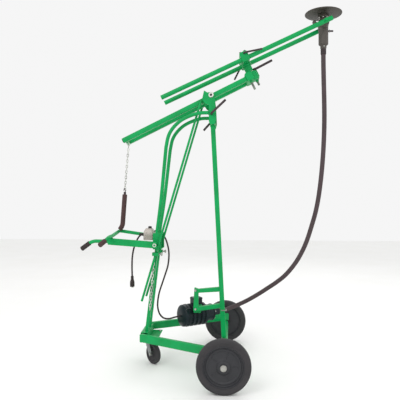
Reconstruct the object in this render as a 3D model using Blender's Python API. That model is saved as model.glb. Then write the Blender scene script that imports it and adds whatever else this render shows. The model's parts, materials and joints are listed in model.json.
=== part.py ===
"""A wheeled boom stand: a counterbalanced boom carries a spinning disc head, and a flexible
shaft drives the head from a motor on the stand. Metres, +Z up, +X towards the head, -Y is
the near side. The origin is on the floor, below the middle of the whole machine."""

import math

import bmesh
import bpy
from mathutils import Matrix, Vector

# ---- Driving dimensions ----
GAP = 0.0003  # between pieces that touch
RUNNING = 0.0003  # round a pin or a shaft, each side
ROUND_SIDES = 12

WHEEL_RADIUS = 0.127
WHEEL_WIDTH = 0.044
TYRE_DEPTH = 0.030
TRACK_HALF = 0.420
AXLE_X = 0.070
AXLE_RADIUS = 0.0095
AXLE_TUBE_RADIUS = 0.0177

BASE_RAIL_HEIGHT = 0.040
BASE_RAIL_WIDTH = 0.025
TUBE_WALL = 0.002
FRONT_X = -0.372
FRONT_BAR_WIDTH = 0.038
FRONT_RAIL_Y = 0.120
REAR_RAIL_Y = 0.368

CASTER_X = -0.342
CASTER_RADIUS = 0.055
CASTER_WIDTH = 0.026
CASTER_TRAIL = 0.038
CASTER_TURN = math.radians(-45.0)
CASTER_PLATE_THICK = 0.0055

MAST_MEMBER_Y = 0.045
MAST_MEMBER_WIDTH = 0.017
MAST_MEMBER_DEPTH = 0.025
MAST_FOOT_X = -0.347
MAST_TOP_X = -0.294
HEAD_BOX_X = (-0.313, -0.268)
HEAD_BOX_Z = (0.622, 0.707)
HEAD_BOX_HALF = 0.060
HEAD_BOX_WALL = 0.004

ARCH_RADIUS = 0.0095
ARCH_FOOT_Y = 0.048
BRACKET_Y = 0.087
BRACKET_THICK = 0.007
BRACKET_LEFT = -0.012
LEG_WIDTH = 0.025
LEG_TOP = Vector((0.007, 0.0, 1.283))
LEG_SPLICE_Z = 0.290

BOOM_PIVOT = Vector((0.0, 0.0, 1.437))
LOWER_TILT = math.radians(26.0)
LOWER_RAIL_SIZE = 0.025
LOWER_RAIL_Y = 0.050
LOWER_TAIL = 0.530
BLOCK_START = 0.205
BLOCK_END = 0.285
BLOCK_LOW = -0.018
BLOCK_TOP = 0.030
BLOCK_HALF = 0.0625
BLOCK_WALL = 0.006
PIVOT_BOLT_RADIUS = 0.008

ROD_RADIUS = 0.006
ROD_Y = 0.0697
ROD_PIN_S = -0.060
ROD_GUIDE_X = -0.296
ROD_GUIDE_Z = 0.598
ROD_FOOT_Z = 0.345
GUIDE_CLEARANCE = 0.0022

SWIVEL_S = 0.247
SPINDLE_RADIUS = 0.012
UPPER_TILT = math.radians(24.3)
UPPER_CENTRE = Vector((0.182, 0.0, 1.633))
UPPER_RAIL_RADIUS = 0.012
UPPER_RAIL_Y = 0.070
UPPER_TAIL = 0.492
HEAD_X = 0.5985
RAIL_BEYOND_HEAD = 0.036
HEAD_BOLT_RADIUS = 0.006
DISC_RADIUS = 0.0975
DISC_TOP = 1.886

LEVER_PIVOT = Vector((-0.297, 0.0, 0.648))
LEVER_BOLT_RADIUS = 0.005
LEVER_BAR_Y = 0.100
LEVER_BAR_THICK = 0.020
LEVER_BAR_HEIGHT = 0.034
LEVER_END_X = -0.545
HANDLE_RADIUS = 0.0095
GRIP_RADIUS = 0.0128
GRIP_END_X = -0.6859

MOTOR_FRONT = Vector((-0.179, 0.060, 0.238))
MOTOR_BACK = Vector((0.040, 0.208, 0.238))
MOTOR_RADIUS = 0.0625

SHAFT_RADIUS = 0.0125
CORD_RADIUS = 0.0048

NEAR = -1
FAR = 1
Y_AXIS = Vector((0.0, 1.0, 0.0))
Z_AXIS = Vector((0.0, 0.0, 1.0))


# ---- Scene and materials ----
def clear_scene():
    for item in list(bpy.data.objects):
        bpy.data.objects.remove(item, do_unlink=True)


def make_material(name, colour, metallic, roughness):
    material = bpy.data.materials.new(name)
    material.use_nodes = True
    shader = material.node_tree.nodes["Principled BSDF"]
    shader.inputs["Base Color"].default_value = (*colour, 1.0)
    shader.inputs["Metallic"].default_value = metallic
    shader.inputs["Roughness"].default_value = roughness
    material.diffuse_color = (*colour, 1.0)
    return material


FINISHES = {
    "green_paint": ((0.0, 0.33, 0.11), 0.0, 0.4),
    "black_paint": ((0.05, 0.04, 0.04), 0.0, 0.5),
    "cast_grey": ((0.36, 0.35, 0.33), 0.6, 0.5),
    "motor_paint": ((0.02, 0.03, 0.035), 0.0, 0.45),
    "bright_zinc": ((0.65, 0.65, 0.62), 1.0, 0.35),
    "tyre_rubber": ((0.045, 0.045, 0.045), 0.0, 0.75),
    "wheel_plastic": ((0.05, 0.05, 0.055), 0.0, 0.5),
    "grip_rubber": ((0.06, 0.05, 0.05), 0.0, 0.8),
    "cord_rubber": ((0.07, 0.05, 0.05), 0.0, 0.7),
    "disc_paint": ((0.08, 0.075, 0.065), 0.2, 0.55),
}


# ---- Shapes ----
def new_piece(name, finish, points, faces, origin):
    """A closed mesh object with its own material and with its origin at the given place."""
    colour, metallic, roughness = FINISHES[finish]
    mesh = bpy.data.meshes.new(name)
    mesh.from_pydata([Vector(p) - origin for p in points], [], faces)
    work = bmesh.new()
    work.from_mesh(mesh)
    bmesh.ops.recalc_face_normals(work, faces=work.faces)
    work.to_mesh(mesh)
    work.free()
    piece = bpy.data.objects.new(name, mesh)
    piece.location = origin
    bpy.context.scene.collection.objects.link(piece)
    mesh.materials.append(make_material(name + "_" + finish, colour, metallic, roughness))
    return piece


def smooth(piece):
    piece.data.shade_smooth()
    piece.data.set_sharp_from_angle(angle=math.radians(40.0))
    return piece


def as_tool(piece):
    """Marks a piece as a Boolean's operand, which the build leaves out."""
    piece.hide_render = True
    piece.display_type = "WIRE"
    return piece


def combine(piece, tool, operation):
    modifier = piece.modifiers.new(operation.lower(), "BOOLEAN")
    modifier.operation = operation
    modifier.solver = "EXACT"
    modifier.object = as_tool(tool)
    return piece


def circle(radius, sides=ROUND_SIDES):
    """An outline of a circle, as (across, up) pairs."""
    turns = [2.0 * math.pi * (k + 0.5) / sides for k in range(sides)]
    return [(radius * math.cos(t), radius * math.sin(t)) for t in turns]


def rectangle(width, height):
    half_w, half_h = width / 2.0, height / 2.0
    return [(-half_w, -half_h), (half_w, -half_h), (half_w, half_h), (-half_w, half_h)]


def sweep(name, finish, path, outline, bore=None, across=Y_AXIS):
    """Carries an outline along a path with mitred corners. A bore makes it an open tube."""
    path = [Vector(p) for p in path]
    steps = [(b - a).normalized() for a, b in zip(path, path[1:])]
    side = (across - steps[0] * across.dot(steps[0])).normalized()
    rise = steps[0].cross(side)
    loops = [outline] if bore is None else [outline, bore]
    rings = [[path[0] + side * a + rise * b for a, b in loop] for loop in loops]
    count = len(outline)
    points = [p for ring in rings for p in ring]
    for index, centre in enumerate(path[1:]):
        direction = steps[index]
        following = steps[min(index + 1, len(steps) - 1)]
        normal = (direction + following).normalized()
        for ring in rings:
            for k, p in enumerate(ring):
                ring[k] = p + direction * ((centre - p).dot(normal) / direction.dot(normal))
            points.extend(ring)
    layer = count * len(loops)
    last = layer * (len(path) - 1)
    faces = []
    for row in range(len(path) - 1):
        for loop in range(len(loops)):
            start = row * layer + loop * count
            for k in range(count):
                n = (k + 1) % count
                faces.append((start + k, start + n, start + layer + n, start + layer + k))
    for start in (0, last):
        if bore is None:
            faces.append(tuple(range(start, start + count)))
        else:
            for k in range(count):
                n = (k + 1) % count
                faces.append((start + k, start + n, start + count + n, start + count + k))
    return smooth(new_piece(name, finish, points, faces, path[0].copy()))


def round_tube(name, finish, path, radius, wall=None, across=Y_AXIS):
    bore = None if wall is None else circle(radius - wall)
    return sweep(name, finish, path, circle(radius), bore, across)


def box_tube(name, finish, path, width, height, wall=None, across=Y_AXIS):
    bore = None if wall is None else rectangle(width - 2 * wall, height - 2 * wall)
    return sweep(name, finish, path, rectangle(width, height), bore, across)


def turned(name, finish, profile, centre, axis, sides=ROUND_SIDES):
    """Turns (radius, height) points about an axis. It ends on the axis, or is a ring."""
    axis = axis.normalized()
    side = axis.orthogonal().normalized()
    other = axis.cross(side)
    points, rings, faces = [], [], []
    for radius, height in profile:
        base = centre + axis * height
        if radius == 0.0:
            rings.append([len(points)])
            points.append(base)
            continue
        rings.append(list(range(len(points), len(points) + sides)))
        for a, b in circle(radius, sides):
            points.append(base + side * a + other * b)
    pairs = list(zip(rings, rings[1:]))
    if profile[0][0] != 0.0:
        pairs.append((rings[-1], rings[0]))
    for low, high in pairs:
        for k in range(sides):
            n = (k + 1) % sides
            if len(low) == 1:
                faces.append((low[0], high[k], high[n]))
            elif len(high) == 1:
                faces.append((low[k], low[n], high[0]))
            else:
                faces.append((low[k], low[n], high[n], high[k]))
    return smooth(new_piece(name, finish, points, faces, centre.copy()))


def rod(name, finish, start, end, radius, sides=ROUND_SIDES):
    start, end = Vector(start), Vector(end)
    length = (end - start).length
    profile = [(0.0, 0.0), (radius, 0.0), (radius, length), (0.0, length)]
    return turned(name, finish, profile, start, end - start, sides)


def slab(name, finish, outline, low_y, high_y):
    """An (x, z) outline between two planes across the machine."""
    count = len(outline)
    points = [Vector((x, y, z)) for y in (low_y, high_y) for x, z in outline]
    faces = [tuple(range(count)), tuple(range(count, 2 * count))]
    for k in range(count):
        n = (k + 1) % count
        faces.append((k, n, count + n, count + k))
    return new_piece(name, finish, points, faces, points[0].copy())


def block(name, finish, low, high):
    outline = [(low[0], low[2]), (high[0], low[2]), (high[0], high[2]), (low[0], high[2])]
    return slab(name, finish, outline, low[1], high[1])


def round_outside(radius, sides=ROUND_SIDES):
    """The corner radius of a polygon whose flats touch the circle from outside."""
    return radius / math.cos(math.pi / sides)


def drill(piece, name, start, end, radius):
    """A through hole that clears a round pin, cut by a rod longer than the wall."""
    cutter = rod(name, "bright_zinc", start, end, round_outside(radius))
    return combine(piece, cutter, "DIFFERENCE")


def carry(joint_name, place, pieces):
    """Hangs pieces on an empty that stands on their joint's axis."""
    empty = bpy.data.objects.new(joint_name, None)
    empty.location = place
    empty.empty_display_size = 0.05
    bpy.context.scene.collection.objects.link(empty)
    for piece in pieces:
        piece.parent = empty
        piece.location = piece.location - Vector(place)


def smooth_route(points, spacing):
    """Points at an even spacing on a Catmull-Rom curve through the given points."""
    knots = [Vector(p) for p in points]
    ends = [2 * knots[0] - knots[1]] + knots + [2 * knots[-1] - knots[-2]]
    fine = []
    for k in range(1, len(ends) - 2):
        a, b, c, d = ends[k - 1 : k + 3]
        for step in range(20):
            t = step / 20.0
            fine.append(
                0.5 * (2 * b + (c - a) * t + (2 * a - 5 * b + 4 * c - d) * t**2
                       + (3 * b - a - 3 * c + d) * t**3)
            )
    fine.append(knots[-1])
    lengths = [0.0]
    for a, b in zip(fine, fine[1:]):
        lengths.append(lengths[-1] + (b - a).length)
    count = max(2, round(lengths[-1] / spacing))
    route, k = [], 0
    for index in range(count + 1):
        want = lengths[-1] * index / count
        while k < len(fine) - 2 and lengths[k + 1] < want:
            k += 1
        share = (want - lengths[k]) / (lengths[k + 1] - lengths[k])
        route.append(fine[k].lerp(fine[k + 1], min(1.0, share)))
    return route


def cord(name, finish, points, radius):
    """A round cord: a polyline curve with a bevel and closed ends. It leaves squarely."""
    points = [Vector(p) for p in points]
    first = points[0] + (points[1] - points[0]).normalized() * radius
    last = points[-1] + (points[-2] - points[-1]).normalized() * radius
    inner = smooth_route([first] + points[1:-1] + [last], radius * 5.0)
    route = [points[0]] + inner + [points[-1]]
    curve = bpy.data.curves.new(name, "CURVE")
    curve.dimensions = "3D"
    curve.bevel_depth = radius
    curve.bevel_resolution = 2
    curve.use_fill_caps = True
    spline = curve.splines.new("POLY")
    spline.points.add(len(route) - 1)
    for point, place in zip(spline.points, route):
        point.co = (*place, 1.0)
    piece = bpy.data.objects.new(name, curve)
    bpy.context.scene.collection.objects.link(piece)
    colour, metallic, roughness = FINISHES[finish]
    curve.materials.append(make_material(name + "_" + finish, colour, metallic, roughness))
    return piece


def boom_point(along, across, above):
    """A place given along, across and above the lower boom's middle line."""
    x = along * math.cos(LOWER_TILT) - above * math.sin(LOWER_TILT)
    z = along * math.sin(LOWER_TILT) + above * math.cos(LOWER_TILT)
    return BOOM_PIVOT + Vector((x, across, z))


BOOM_UP = Vector((-math.sin(LOWER_TILT), 0.0, math.cos(LOWER_TILT)))


def boom_block(name, finish, low, high):
    """A box in the lower boom's own directions."""
    corners = [(low[0], low[2]), (high[0], low[2]), (high[0], high[2]), (low[0], high[2])]
    places = [boom_point(s, 0.0, w) for s, w in corners]
    return slab(name, finish, [(p.x, p.z) for p in places], low[1], high[1])


# ---- Base, wheels and caster ----
RAIL_TOP = 0.185
RAIL_LOW = RAIL_TOP - BASE_RAIL_HEIGHT
RAIL_MIDDLE = (RAIL_TOP + RAIL_LOW) / 2.0


def side_name(side):
    return "near" if side == NEAR else "far"


def make_base():
    for side in (NEAR, FAR):
        front = (FRONT_X + 0.007, side * FRONT_RAIL_Y, RAIL_MIDDLE)
        rear = (AXLE_X + 0.015, side * REAR_RAIL_Y, RAIL_MIDDLE)
        box_tube("base_rail_" + side_name(side), "green_paint", [front, rear],
                 BASE_RAIL_WIDTH, BASE_RAIL_HEIGHT, TUBE_WALL)
    bar_x = FRONT_X + FRONT_BAR_WIDTH / 2.0
    bar_half = FRONT_RAIL_Y - 0.0225
    box_tube("base_front_bar", "green_paint",
             [(bar_x, -bar_half, RAIL_MIDDLE), (bar_x, bar_half, RAIL_MIDDLE)],
             FRONT_BAR_WIDTH, BASE_RAIL_HEIGHT, TUBE_WALL, across=Vector((1.0, 0.0, 0.0)))
    plate_top = RAIL_LOW - GAP
    block("caster_plate", "green_paint",
          (FRONT_X, -0.118, plate_top - CASTER_PLATE_THICK), (-0.285, 0.118, plate_top))
    tube_half = TRACK_HALF - 0.052
    axle_half = TRACK_HALF + WHEEL_WIDTH / 2.0 + 0.006
    profile = [(0.0, -axle_half), (AXLE_RADIUS, -axle_half), (AXLE_RADIUS, -tube_half),
               (AXLE_TUBE_RADIUS, -tube_half), (AXLE_TUBE_RADIUS, tube_half),
               (AXLE_RADIUS, tube_half), (AXLE_RADIUS, axle_half), (0.0, axle_half)]
    turned("axle", "green_paint", profile, Vector((AXLE_X, 0.0, WHEEL_RADIUS)), Y_AXIS)


def make_wheel(side):
    centre = Vector((AXLE_X, side * TRACK_HALF, WHEEL_RADIUS))
    outward = Vector((0.0, float(side), 0.0))
    half = WHEEL_WIDTH / 2.0
    inner = WHEEL_RADIUS - TYRE_DEPTH
    tyre_profile = [(inner, -half * 0.8), (WHEEL_RADIUS - 0.010, -half),
                    (WHEEL_RADIUS, -half * 0.55), (WHEEL_RADIUS, half * 0.55),
                    (WHEEL_RADIUS - 0.010, half), (inner, half * 0.8)]
    tyre = turned("tyre_" + side_name(side), "tyre_rubber", tyre_profile, centre, outward, 28)
    bore = AXLE_RADIUS + RUNNING
    rim_outer = inner - GAP
    rim_profile = [(bore, -half * 0.9), (0.024, -half * 0.9), (0.030, -0.003),
                   (rim_outer - 0.008, -0.003), (rim_outer, -half * 0.75),
                   (rim_outer, half * 0.75), (rim_outer - 0.010, 0.006),
                   (0.034, 0.003), (0.024, half * 0.9), (bore, half * 0.9)]
    rim = turned("wheel_" + side_name(side), "wheel_plastic", rim_profile, centre, outward, 28)
    carry("wheel_" + side_name(side) + "_axis", centre, [tyre, rim])


def make_caster():
    heading = Vector((math.cos(CASTER_TURN), math.sin(CASTER_TURN), 0.0))
    across = Vector((-heading.y, heading.x, 0.0))
    stem = Vector((CASTER_X, 0.0, 0.0))
    hub = stem + heading * CASTER_TRAIL + Z_AXIS * CASTER_RADIUS
    plate_low = RAIL_LOW - GAP - CASTER_PLATE_THICK
    crown_top = plate_low - GAP
    crown_low = crown_top - 0.020
    crown = turned("caster_fork", "cast_grey",
                   [(0.0, crown_low), (0.027, crown_low), (0.027, crown_top - 0.006),
                    (0.022, crown_top), (0.0, crown_top)], stem, Z_AXIS, 16)
    leg_offset = CASTER_WIDTH / 2.0 + 0.0035
    for index, side in enumerate((NEAR, FAR)):
        shift = across * (side * leg_offset)
        top = stem + shift + Z_AXIS * (crown_low + 0.004)
        foot = hub + shift - Z_AXIS * 0.010
        leg = sweep(f"caster_leg_tool_{index}", "cast_grey", [top, foot],
                    rectangle(0.004, 0.030), None, across)
        combine(crown, leg, "UNION")
    drill(crown, "caster_pin_bore", hub - across * 0.04, hub + across * 0.04, 0.0053)
    half = CASTER_WIDTH / 2.0
    profile = [(0.0053, -half), (0.016, -half), (0.020, -half * 0.6), (0.042, -half * 0.6),
               (0.046, -half * 0.85), (CASTER_RADIUS, -half * 0.5), (CASTER_RADIUS, half * 0.5),
               (0.046, half * 0.85), (0.042, half * 0.6), (0.020, half * 0.6),
               (0.016, half), (0.0053, half)]
    wheel = turned("caster_wheel", "tyre_rubber", profile, hub, across, 20)
    bolt = rod("caster_bolt", "bright_zinc", hub - across * 0.024, hub + across * 0.024, 0.005)
    carry("caster_swivel_axis", stem + Z_AXIS * crown_low, [crown, bolt])
    carry("caster_wheel_axis", hub, [wheel])


# ---- Mast, arch tubes, rear leg and bracket ----
def make_mast():
    lean = (MAST_TOP_X - MAST_FOOT_X) / (HEAD_BOX_Z[0] - RAIL_TOP)
    foot_z = RAIL_TOP + GAP
    top_z = HEAD_BOX_Z[0] - GAP
    half_w = MAST_MEMBER_WIDTH / 2.0
    for side in (NEAR, FAR):
        foot_x = MAST_FOOT_X
        top_x = MAST_FOOT_X + lean * (top_z - foot_z)
        outline = [(foot_x - half_w, foot_z), (foot_x + half_w, foot_z),
                   (top_x + half_w, top_z), (top_x - half_w, top_z)]
        middle = side * MAST_MEMBER_Y
        half_d = MAST_MEMBER_DEPTH / 2.0
        slab("mast_" + side_name(side), "green_paint", outline, middle - half_d, middle + half_d)
    x0, x1 = HEAD_BOX_X
    z0, z1 = HEAD_BOX_Z
    wall = HEAD_BOX_WALL
    head = block("mast_head", "green_paint", (x0, -HEAD_BOX_HALF, z0), (x1, HEAD_BOX_HALF, z1))
    pocket = block("mast_head_pocket", "green_paint",
                   (x0 + wall, -HEAD_BOX_HALF + wall, z0 + wall),
                   (x1 + 0.01, HEAD_BOX_HALF - wall, z1 - wall))
    combine(head, pocket, "DIFFERENCE")
    drill(head, "lever_bore", LEVER_PIVOT - Y_AXIS * 0.08, LEVER_PIVOT + Y_AXIS * 0.08,
          LEVER_BOLT_RADIUS + RUNNING)


def arch_path(side):
    """Up from the mast head, leaning outwards, then round to meet the bracket."""
    foot = Vector((-0.291, side * ARCH_FOOT_Y, HEAD_BOX_Z[1] + GAP))
    shoulder = Vector((-0.238, side * BRACKET_Y, 1.166))
    bend = [shoulder, Vector((-0.225, side * BRACKET_Y, 1.225)),
            Vector((-0.200, side * BRACKET_Y, 1.268)), Vector((-0.160, side * BRACKET_Y, 1.305)),
            Vector((-0.110, side * BRACKET_Y, 1.330)), Vector((-0.060, side * BRACKET_Y, 1.3435)),
            Vector((BRACKET_LEFT - GAP - 0.0007, side * BRACKET_Y, 1.345))]
    return [foot, foot + Z_AXIS * 0.014, Vector((-0.268, side * 0.066, 0.886))] + \
        smooth_route(bend, 0.032)


def bracket_outline():
    """Round the boom pivot, with a peak at the upper left and a long tail down the leg."""
    return [(-0.047, 1.418), (-0.037, 1.462), (-0.020, 1.451), (0.004, 1.453), (0.017, 1.437),
            (0.022, 1.400), (0.026, 1.310), (0.020, 1.284), (-0.006, 1.284), (BRACKET_LEFT, 1.300),
            (BRACKET_LEFT, 1.385), (-0.030, 1.392)]


def make_top():
    crank = Vector((0.002, 0.0, 1.338))
    tie = Vector((0.007, 0.0, 1.3055))
    for side in (NEAR, FAR):
        name = side_name(side)
        low = side * BRACKET_Y - BRACKET_THICK / 2.0
        plate = slab("bracket_" + name, "green_paint", bracket_outline(), low,
                     low + BRACKET_THICK)
        drill(plate, name + "_pivot_bore", BOOM_PIVOT + Y_AXIS * (low - 0.02),
              BOOM_PIVOT + Y_AXIS * (low + 0.03), PIVOT_BOLT_RADIUS + RUNNING)
        drill(plate, name + "_crank_bore", crank + Y_AXIS * (low - 0.02),
              crank + Y_AXIS * (low + 0.03), CRANK_RADIUS + RUNNING)
        round_tube("arch_" + name, "green_paint", arch_path(side), ARCH_RADIUS, TUBE_WALL)
    tie_half = BRACKET_Y - BRACKET_THICK / 2.0 - GAP
    rod("bracket_tie", "green_paint", tie - Y_AXIS * tie_half, tie + Y_AXIS * tie_half, 0.0125)
    head = BRACKET_Y + BRACKET_THICK / 2.0 + GAP
    radius = PIVOT_BOLT_RADIUS
    turned("boom_pivot_bolt", "bright_zinc",
           [(0.0, -head - 0.008), (0.007, -head - 0.008), (0.007, -head - 0.003),
            (0.0135, -head - 0.003), (0.0135, -head), (radius, -head), (radius, head),
            (0.0135, head), (0.0135, head + 0.006), (0.0, head + 0.006)],
           BOOM_PIVOT, Y_AXIS, 16)
    stub_foot = Vector((0.0660, 0.0, WHEEL_RADIUS + AXLE_TUBE_RADIUS + GAP))
    run = (LEG_TOP - stub_foot) / (LEG_TOP.z - stub_foot.z)
    splice = stub_foot + run * (LEG_SPLICE_Z - stub_foot.z)
    leg_slab("leg_socket", stub_foot, splice)
    leg_slab("rear_leg", splice + run * GAP, LEG_TOP + run * 0.0092)


CRANK_RADIUS = 0.0055


def leg_slab(name, foot, top):
    """A square leg tube with level ends, hollow from end to end."""
    half = LEG_WIDTH / 2.0
    outline = [(foot.x - half, foot.z), (foot.x + half, foot.z), (top.x + half, top.z),
               (top.x - half, top.z)]
    leg = slab(name, "green_paint", outline, -half, half)
    inside = half - TUBE_WALL
    lean = (top.x - foot.x) / (top.z - foot.z)
    reach = 0.01
    hollow = [(foot.x - lean * reach - inside, foot.z - reach),
              (foot.x - lean * reach + inside, foot.z - reach),
              (top.x + lean * reach + inside, top.z + reach),
              (top.x + lean * reach - inside, top.z + reach)]
    return combine(leg, slab(name + "_hollow", "green_paint", hollow, -inside, inside),
                   "DIFFERENCE")


def make_bracket_crank():
    """One bent rod through both bracket plates: a long near arm up, a short far arm down."""
    hub = Vector((0.002, 0.0, 1.338))
    side_y = 0.112
    near_turn = math.radians(43.0)
    far_turn = math.radians(228.0)
    near_end = hub + Vector((0.102 * math.cos(near_turn), -side_y, 0.102 * math.sin(near_turn)))
    far_end = hub + Vector((0.078 * math.cos(far_turn), side_y, 0.078 * math.sin(far_turn)))
    path = [near_end, hub - Y_AXIS * side_y, hub + Y_AXIS * side_y, far_end]
    crank = round_tube("bracket_crank", "black_paint", path, CRANK_RADIUS)
    carry("bracket_crank_axis", hub, [crank])


# ---- Lower boom ----
def make_lower_boom():
    pieces = []
    pin = boom_point(ROD_PIN_S, 0.0, 0.0)
    for side in (NEAR, FAR):
        name = side_name(side)
        middle = side * LOWER_RAIL_Y
        rail = box_tube("lower_rail_" + name, "green_paint",
                        [boom_point(-LOWER_TAIL, middle, 0.0),
                         boom_point(BLOCK_START - GAP, middle, 0.0)],
                        LOWER_RAIL_SIZE, LOWER_RAIL_SIZE, TUBE_WALL)
        for bore, place, radius in (("pivot", BOOM_PIVOT, PIVOT_BOLT_RADIUS),
                                    ("rod", pin, ROD_RADIUS)):
            drill(rail, f"rail_{name}_{bore}_bore", place + Y_AXIS * (middle - 0.02),
                  place + Y_AXIS * (middle + 0.02), radius + RUNNING)
        pieces.append(rail)
    wall = BLOCK_WALL
    housing = boom_block("lower_block", "green_paint",
                         (BLOCK_START, -BLOCK_HALF, BLOCK_LOW), (BLOCK_END, BLOCK_HALF, BLOCK_TOP))
    pocket = boom_block("lower_block_pocket", "green_paint",
                        (BLOCK_START + wall, -BLOCK_HALF + wall, BLOCK_LOW - 0.01),
                        (BLOCK_END - wall, BLOCK_HALF - wall, BLOCK_TOP - wall))
    combine(housing, pocket, "DIFFERENCE")
    drill(housing, "spindle_bore", boom_point(SWIVEL_S, 0.0, BLOCK_TOP - 0.02),
          boom_point(SWIVEL_S, 0.0, BLOCK_TOP + 0.02), SPINDLE_RADIUS + RUNNING)
    pieces.append(housing)
    anchor_s = -LOWER_TAIL + 0.016
    anchor_half = LOWER_RAIL_Y - LOWER_RAIL_SIZE / 2.0 - GAP
    pieces.append(rod("tail_bar", "green_paint", boom_point(anchor_s, -anchor_half, 0.0),
                      boom_point(anchor_s, anchor_half, 0.0), TAIL_BAR_RADIUS))
    carry("boom_tilt_axis", BOOM_PIVOT, pieces)
    hub_s = 0.276
    lever = turned("swivel_lever", "black_paint",
                   [(0.0, 0.0), (0.009, 0.0), (0.009, 0.014), (0.0, 0.014)],
                   boom_point(hub_s, 0.0, BLOCK_TOP + GAP), BOOM_UP)
    handle = rod("swivel_lever_tool", "black_paint", boom_point(hub_s, 0.0, BLOCK_TOP + 0.0075),
                 boom_point(hub_s + 0.100, -0.030, BLOCK_TOP + 0.003), 0.0055)
    combine(lever, handle, "UNION")
    carry("swivel_lever_axis", boom_point(hub_s, 0.0, BLOCK_TOP), [lever])


TAIL_BAR_RADIUS = 0.0085


def make_stay_rod():
    """One long rod bent as a bail: it hangs on the boom and slides in the mast's guides."""
    pin = boom_point(ROD_PIN_S, 0.0, 0.0)
    lean = (pin.x - ROD_GUIDE_X) / (pin.z - ROD_GUIDE_Z)
    foot_x = pin.x - lean * (pin.z - ROD_FOOT_Z)
    path = [Vector((foot_x, -ROD_Y, ROD_FOOT_Z)), pin - Y_AXIS * ROD_Y, pin + Y_AXIS * ROD_Y,
            Vector((foot_x, ROD_Y, ROD_FOOT_Z))]
    stay = round_tube("stay_rod", "green_paint", path, ROD_RADIUS)
    carry("stay_rod_axis", pin, [stay])
    direction = Vector((lean, 0.0, 1.0)).normalized()
    inner = MAST_MEMBER_Y + MAST_MEMBER_DEPTH / 2.0 + GAP
    for side in (NEAR, FAR):
        outer = inner + 0.0275
        low_y, high_y = sorted((side * inner, side * outer))
        guide = block("rod_guide_" + side_name(side), "bright_zinc",
                      (ROD_GUIDE_X - 0.017, low_y, ROD_GUIDE_Z - 0.009),
                      (ROD_GUIDE_X + 0.017, high_y, ROD_GUIDE_Z + 0.009))
        centre = Vector((ROD_GUIDE_X, side * ROD_Y, ROD_GUIDE_Z))
        drill(guide, "guide_bore_" + side_name(side), centre - direction * 0.03,
              centre + direction * 0.03, ROD_RADIUS + GUIDE_CLEARANCE)


# ---- Upper boom ----
UPPER_ALONG = Vector((math.cos(UPPER_TILT), 0.0, math.sin(UPPER_TILT)))


def upper_point(along, across):
    return UPPER_CENTRE + UPPER_ALONG * along + Y_AXIS * across


def make_swivel_block():
    rail_w = (UPPER_CENTRE - BOOM_PIVOT).dot(BOOM_UP)
    low_w, high_w = rail_w - 0.019, rail_w + 0.036
    half_s, half_y = 0.022, UPPER_RAIL_Y + 0.018
    body = boom_block("upper_block", "green_paint",
                      (SWIVEL_S - half_s, -half_y, low_w), (SWIVEL_S + half_s, half_y, high_w))
    pocket = boom_block("upper_block_pocket", "green_paint",
                        (SWIVEL_S - half_s + 0.006, -0.046, low_w + 0.007),
                        (SWIVEL_S + half_s - 0.006, 0.046, high_w + 0.01))
    combine(body, pocket, "DIFFERENCE")
    neck_low = BLOCK_TOP + GAP
    neck = turned("swivel_spindle_tool", "green_paint",
                  [(0.0, -0.020), (SPINDLE_RADIUS, -0.020), (SPINDLE_RADIUS, neck_low),
                   (0.0145, neck_low), (0.0145, neck_low + 0.010), (0.022, neck_low + 0.020),
                   (0.022, low_w + 0.004), (0.0, low_w + 0.004)],
                  boom_point(SWIVEL_S, 0.0, 0.0), BOOM_UP)
    combine(body, neck, "UNION")
    for side in (NEAR, FAR):
        middle = side * UPPER_RAIL_Y
        drill(body, "upper_bore_" + side_name(side), upper_point(-0.06, middle),
              upper_point(0.06, middle), UPPER_RAIL_RADIUS + RUNNING)
    hub = boom_point(0.2495, 0.0, rail_w + 0.0245)
    shaft_radius = 0.0045
    drill(body, "upper_crank_bore", hub - Y_AXIS * 0.11, hub + Y_AXIS * 0.11,
          shaft_radius + RUNNING)
    carry("boom_swivel_axis", boom_point(SWIVEL_S, 0.0, BLOCK_TOP), [body])
    side_y = half_y + 0.009
    near_turn, far_turn = math.radians(10.6), math.radians(243.4)
    near_end = hub + Vector((0.098 * math.cos(near_turn), -side_y, 0.098 * math.sin(near_turn)))
    far_end = hub + Vector((0.105 * math.cos(far_turn), side_y, 0.105 * math.sin(far_turn)))
    crank = round_tube("upper_crank", "black_paint",
                       [near_end, hub - Y_AXIS * side_y, hub + Y_AXIS * side_y, far_end],
                       shaft_radius)
    carry("upper_crank_axis", hub, [crank])


def head_centre():
    along = (HEAD_X - UPPER_CENTRE.x) / math.cos(UPPER_TILT)
    return upper_point(along, 0.0)


def make_upper_boom():
    head = head_centre()
    pieces = []
    end = (head - UPPER_CENTRE).length + RAIL_BEYOND_HEAD
    for side in (NEAR, FAR):
        name = side_name(side)
        middle = side * UPPER_RAIL_Y
        rail = round_tube("upper_rail_" + name, "green_paint",
                          [upper_point(-UPPER_TAIL, middle), upper_point(end, middle)],
                          UPPER_RAIL_RADIUS, TUBE_WALL)
        drill(rail, "head_bore_" + name, head + Y_AXIS * (middle - 0.02),
              head + Y_AXIS * (middle + 0.02), HEAD_BOLT_RADIUS + RUNNING)
        pieces.append(rail)
    cap = UPPER_RAIL_Y + UPPER_RAIL_RADIUS + GAP
    radius = HEAD_BOLT_RADIUS
    bolt = turned("head_bolt", "bright_zinc",
                  [(0.0, -cap - 0.006), (0.010, -cap - 0.006), (0.010, -cap), (radius, -cap),
                   (radius, cap), (0.010, cap), (0.010, cap + 0.006), (0.0, cap + 0.006)],
                  head, Y_AXIS)
    pieces.append(bolt)
    carry("boom_slide_origin", UPPER_CENTRE, pieces)


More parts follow.
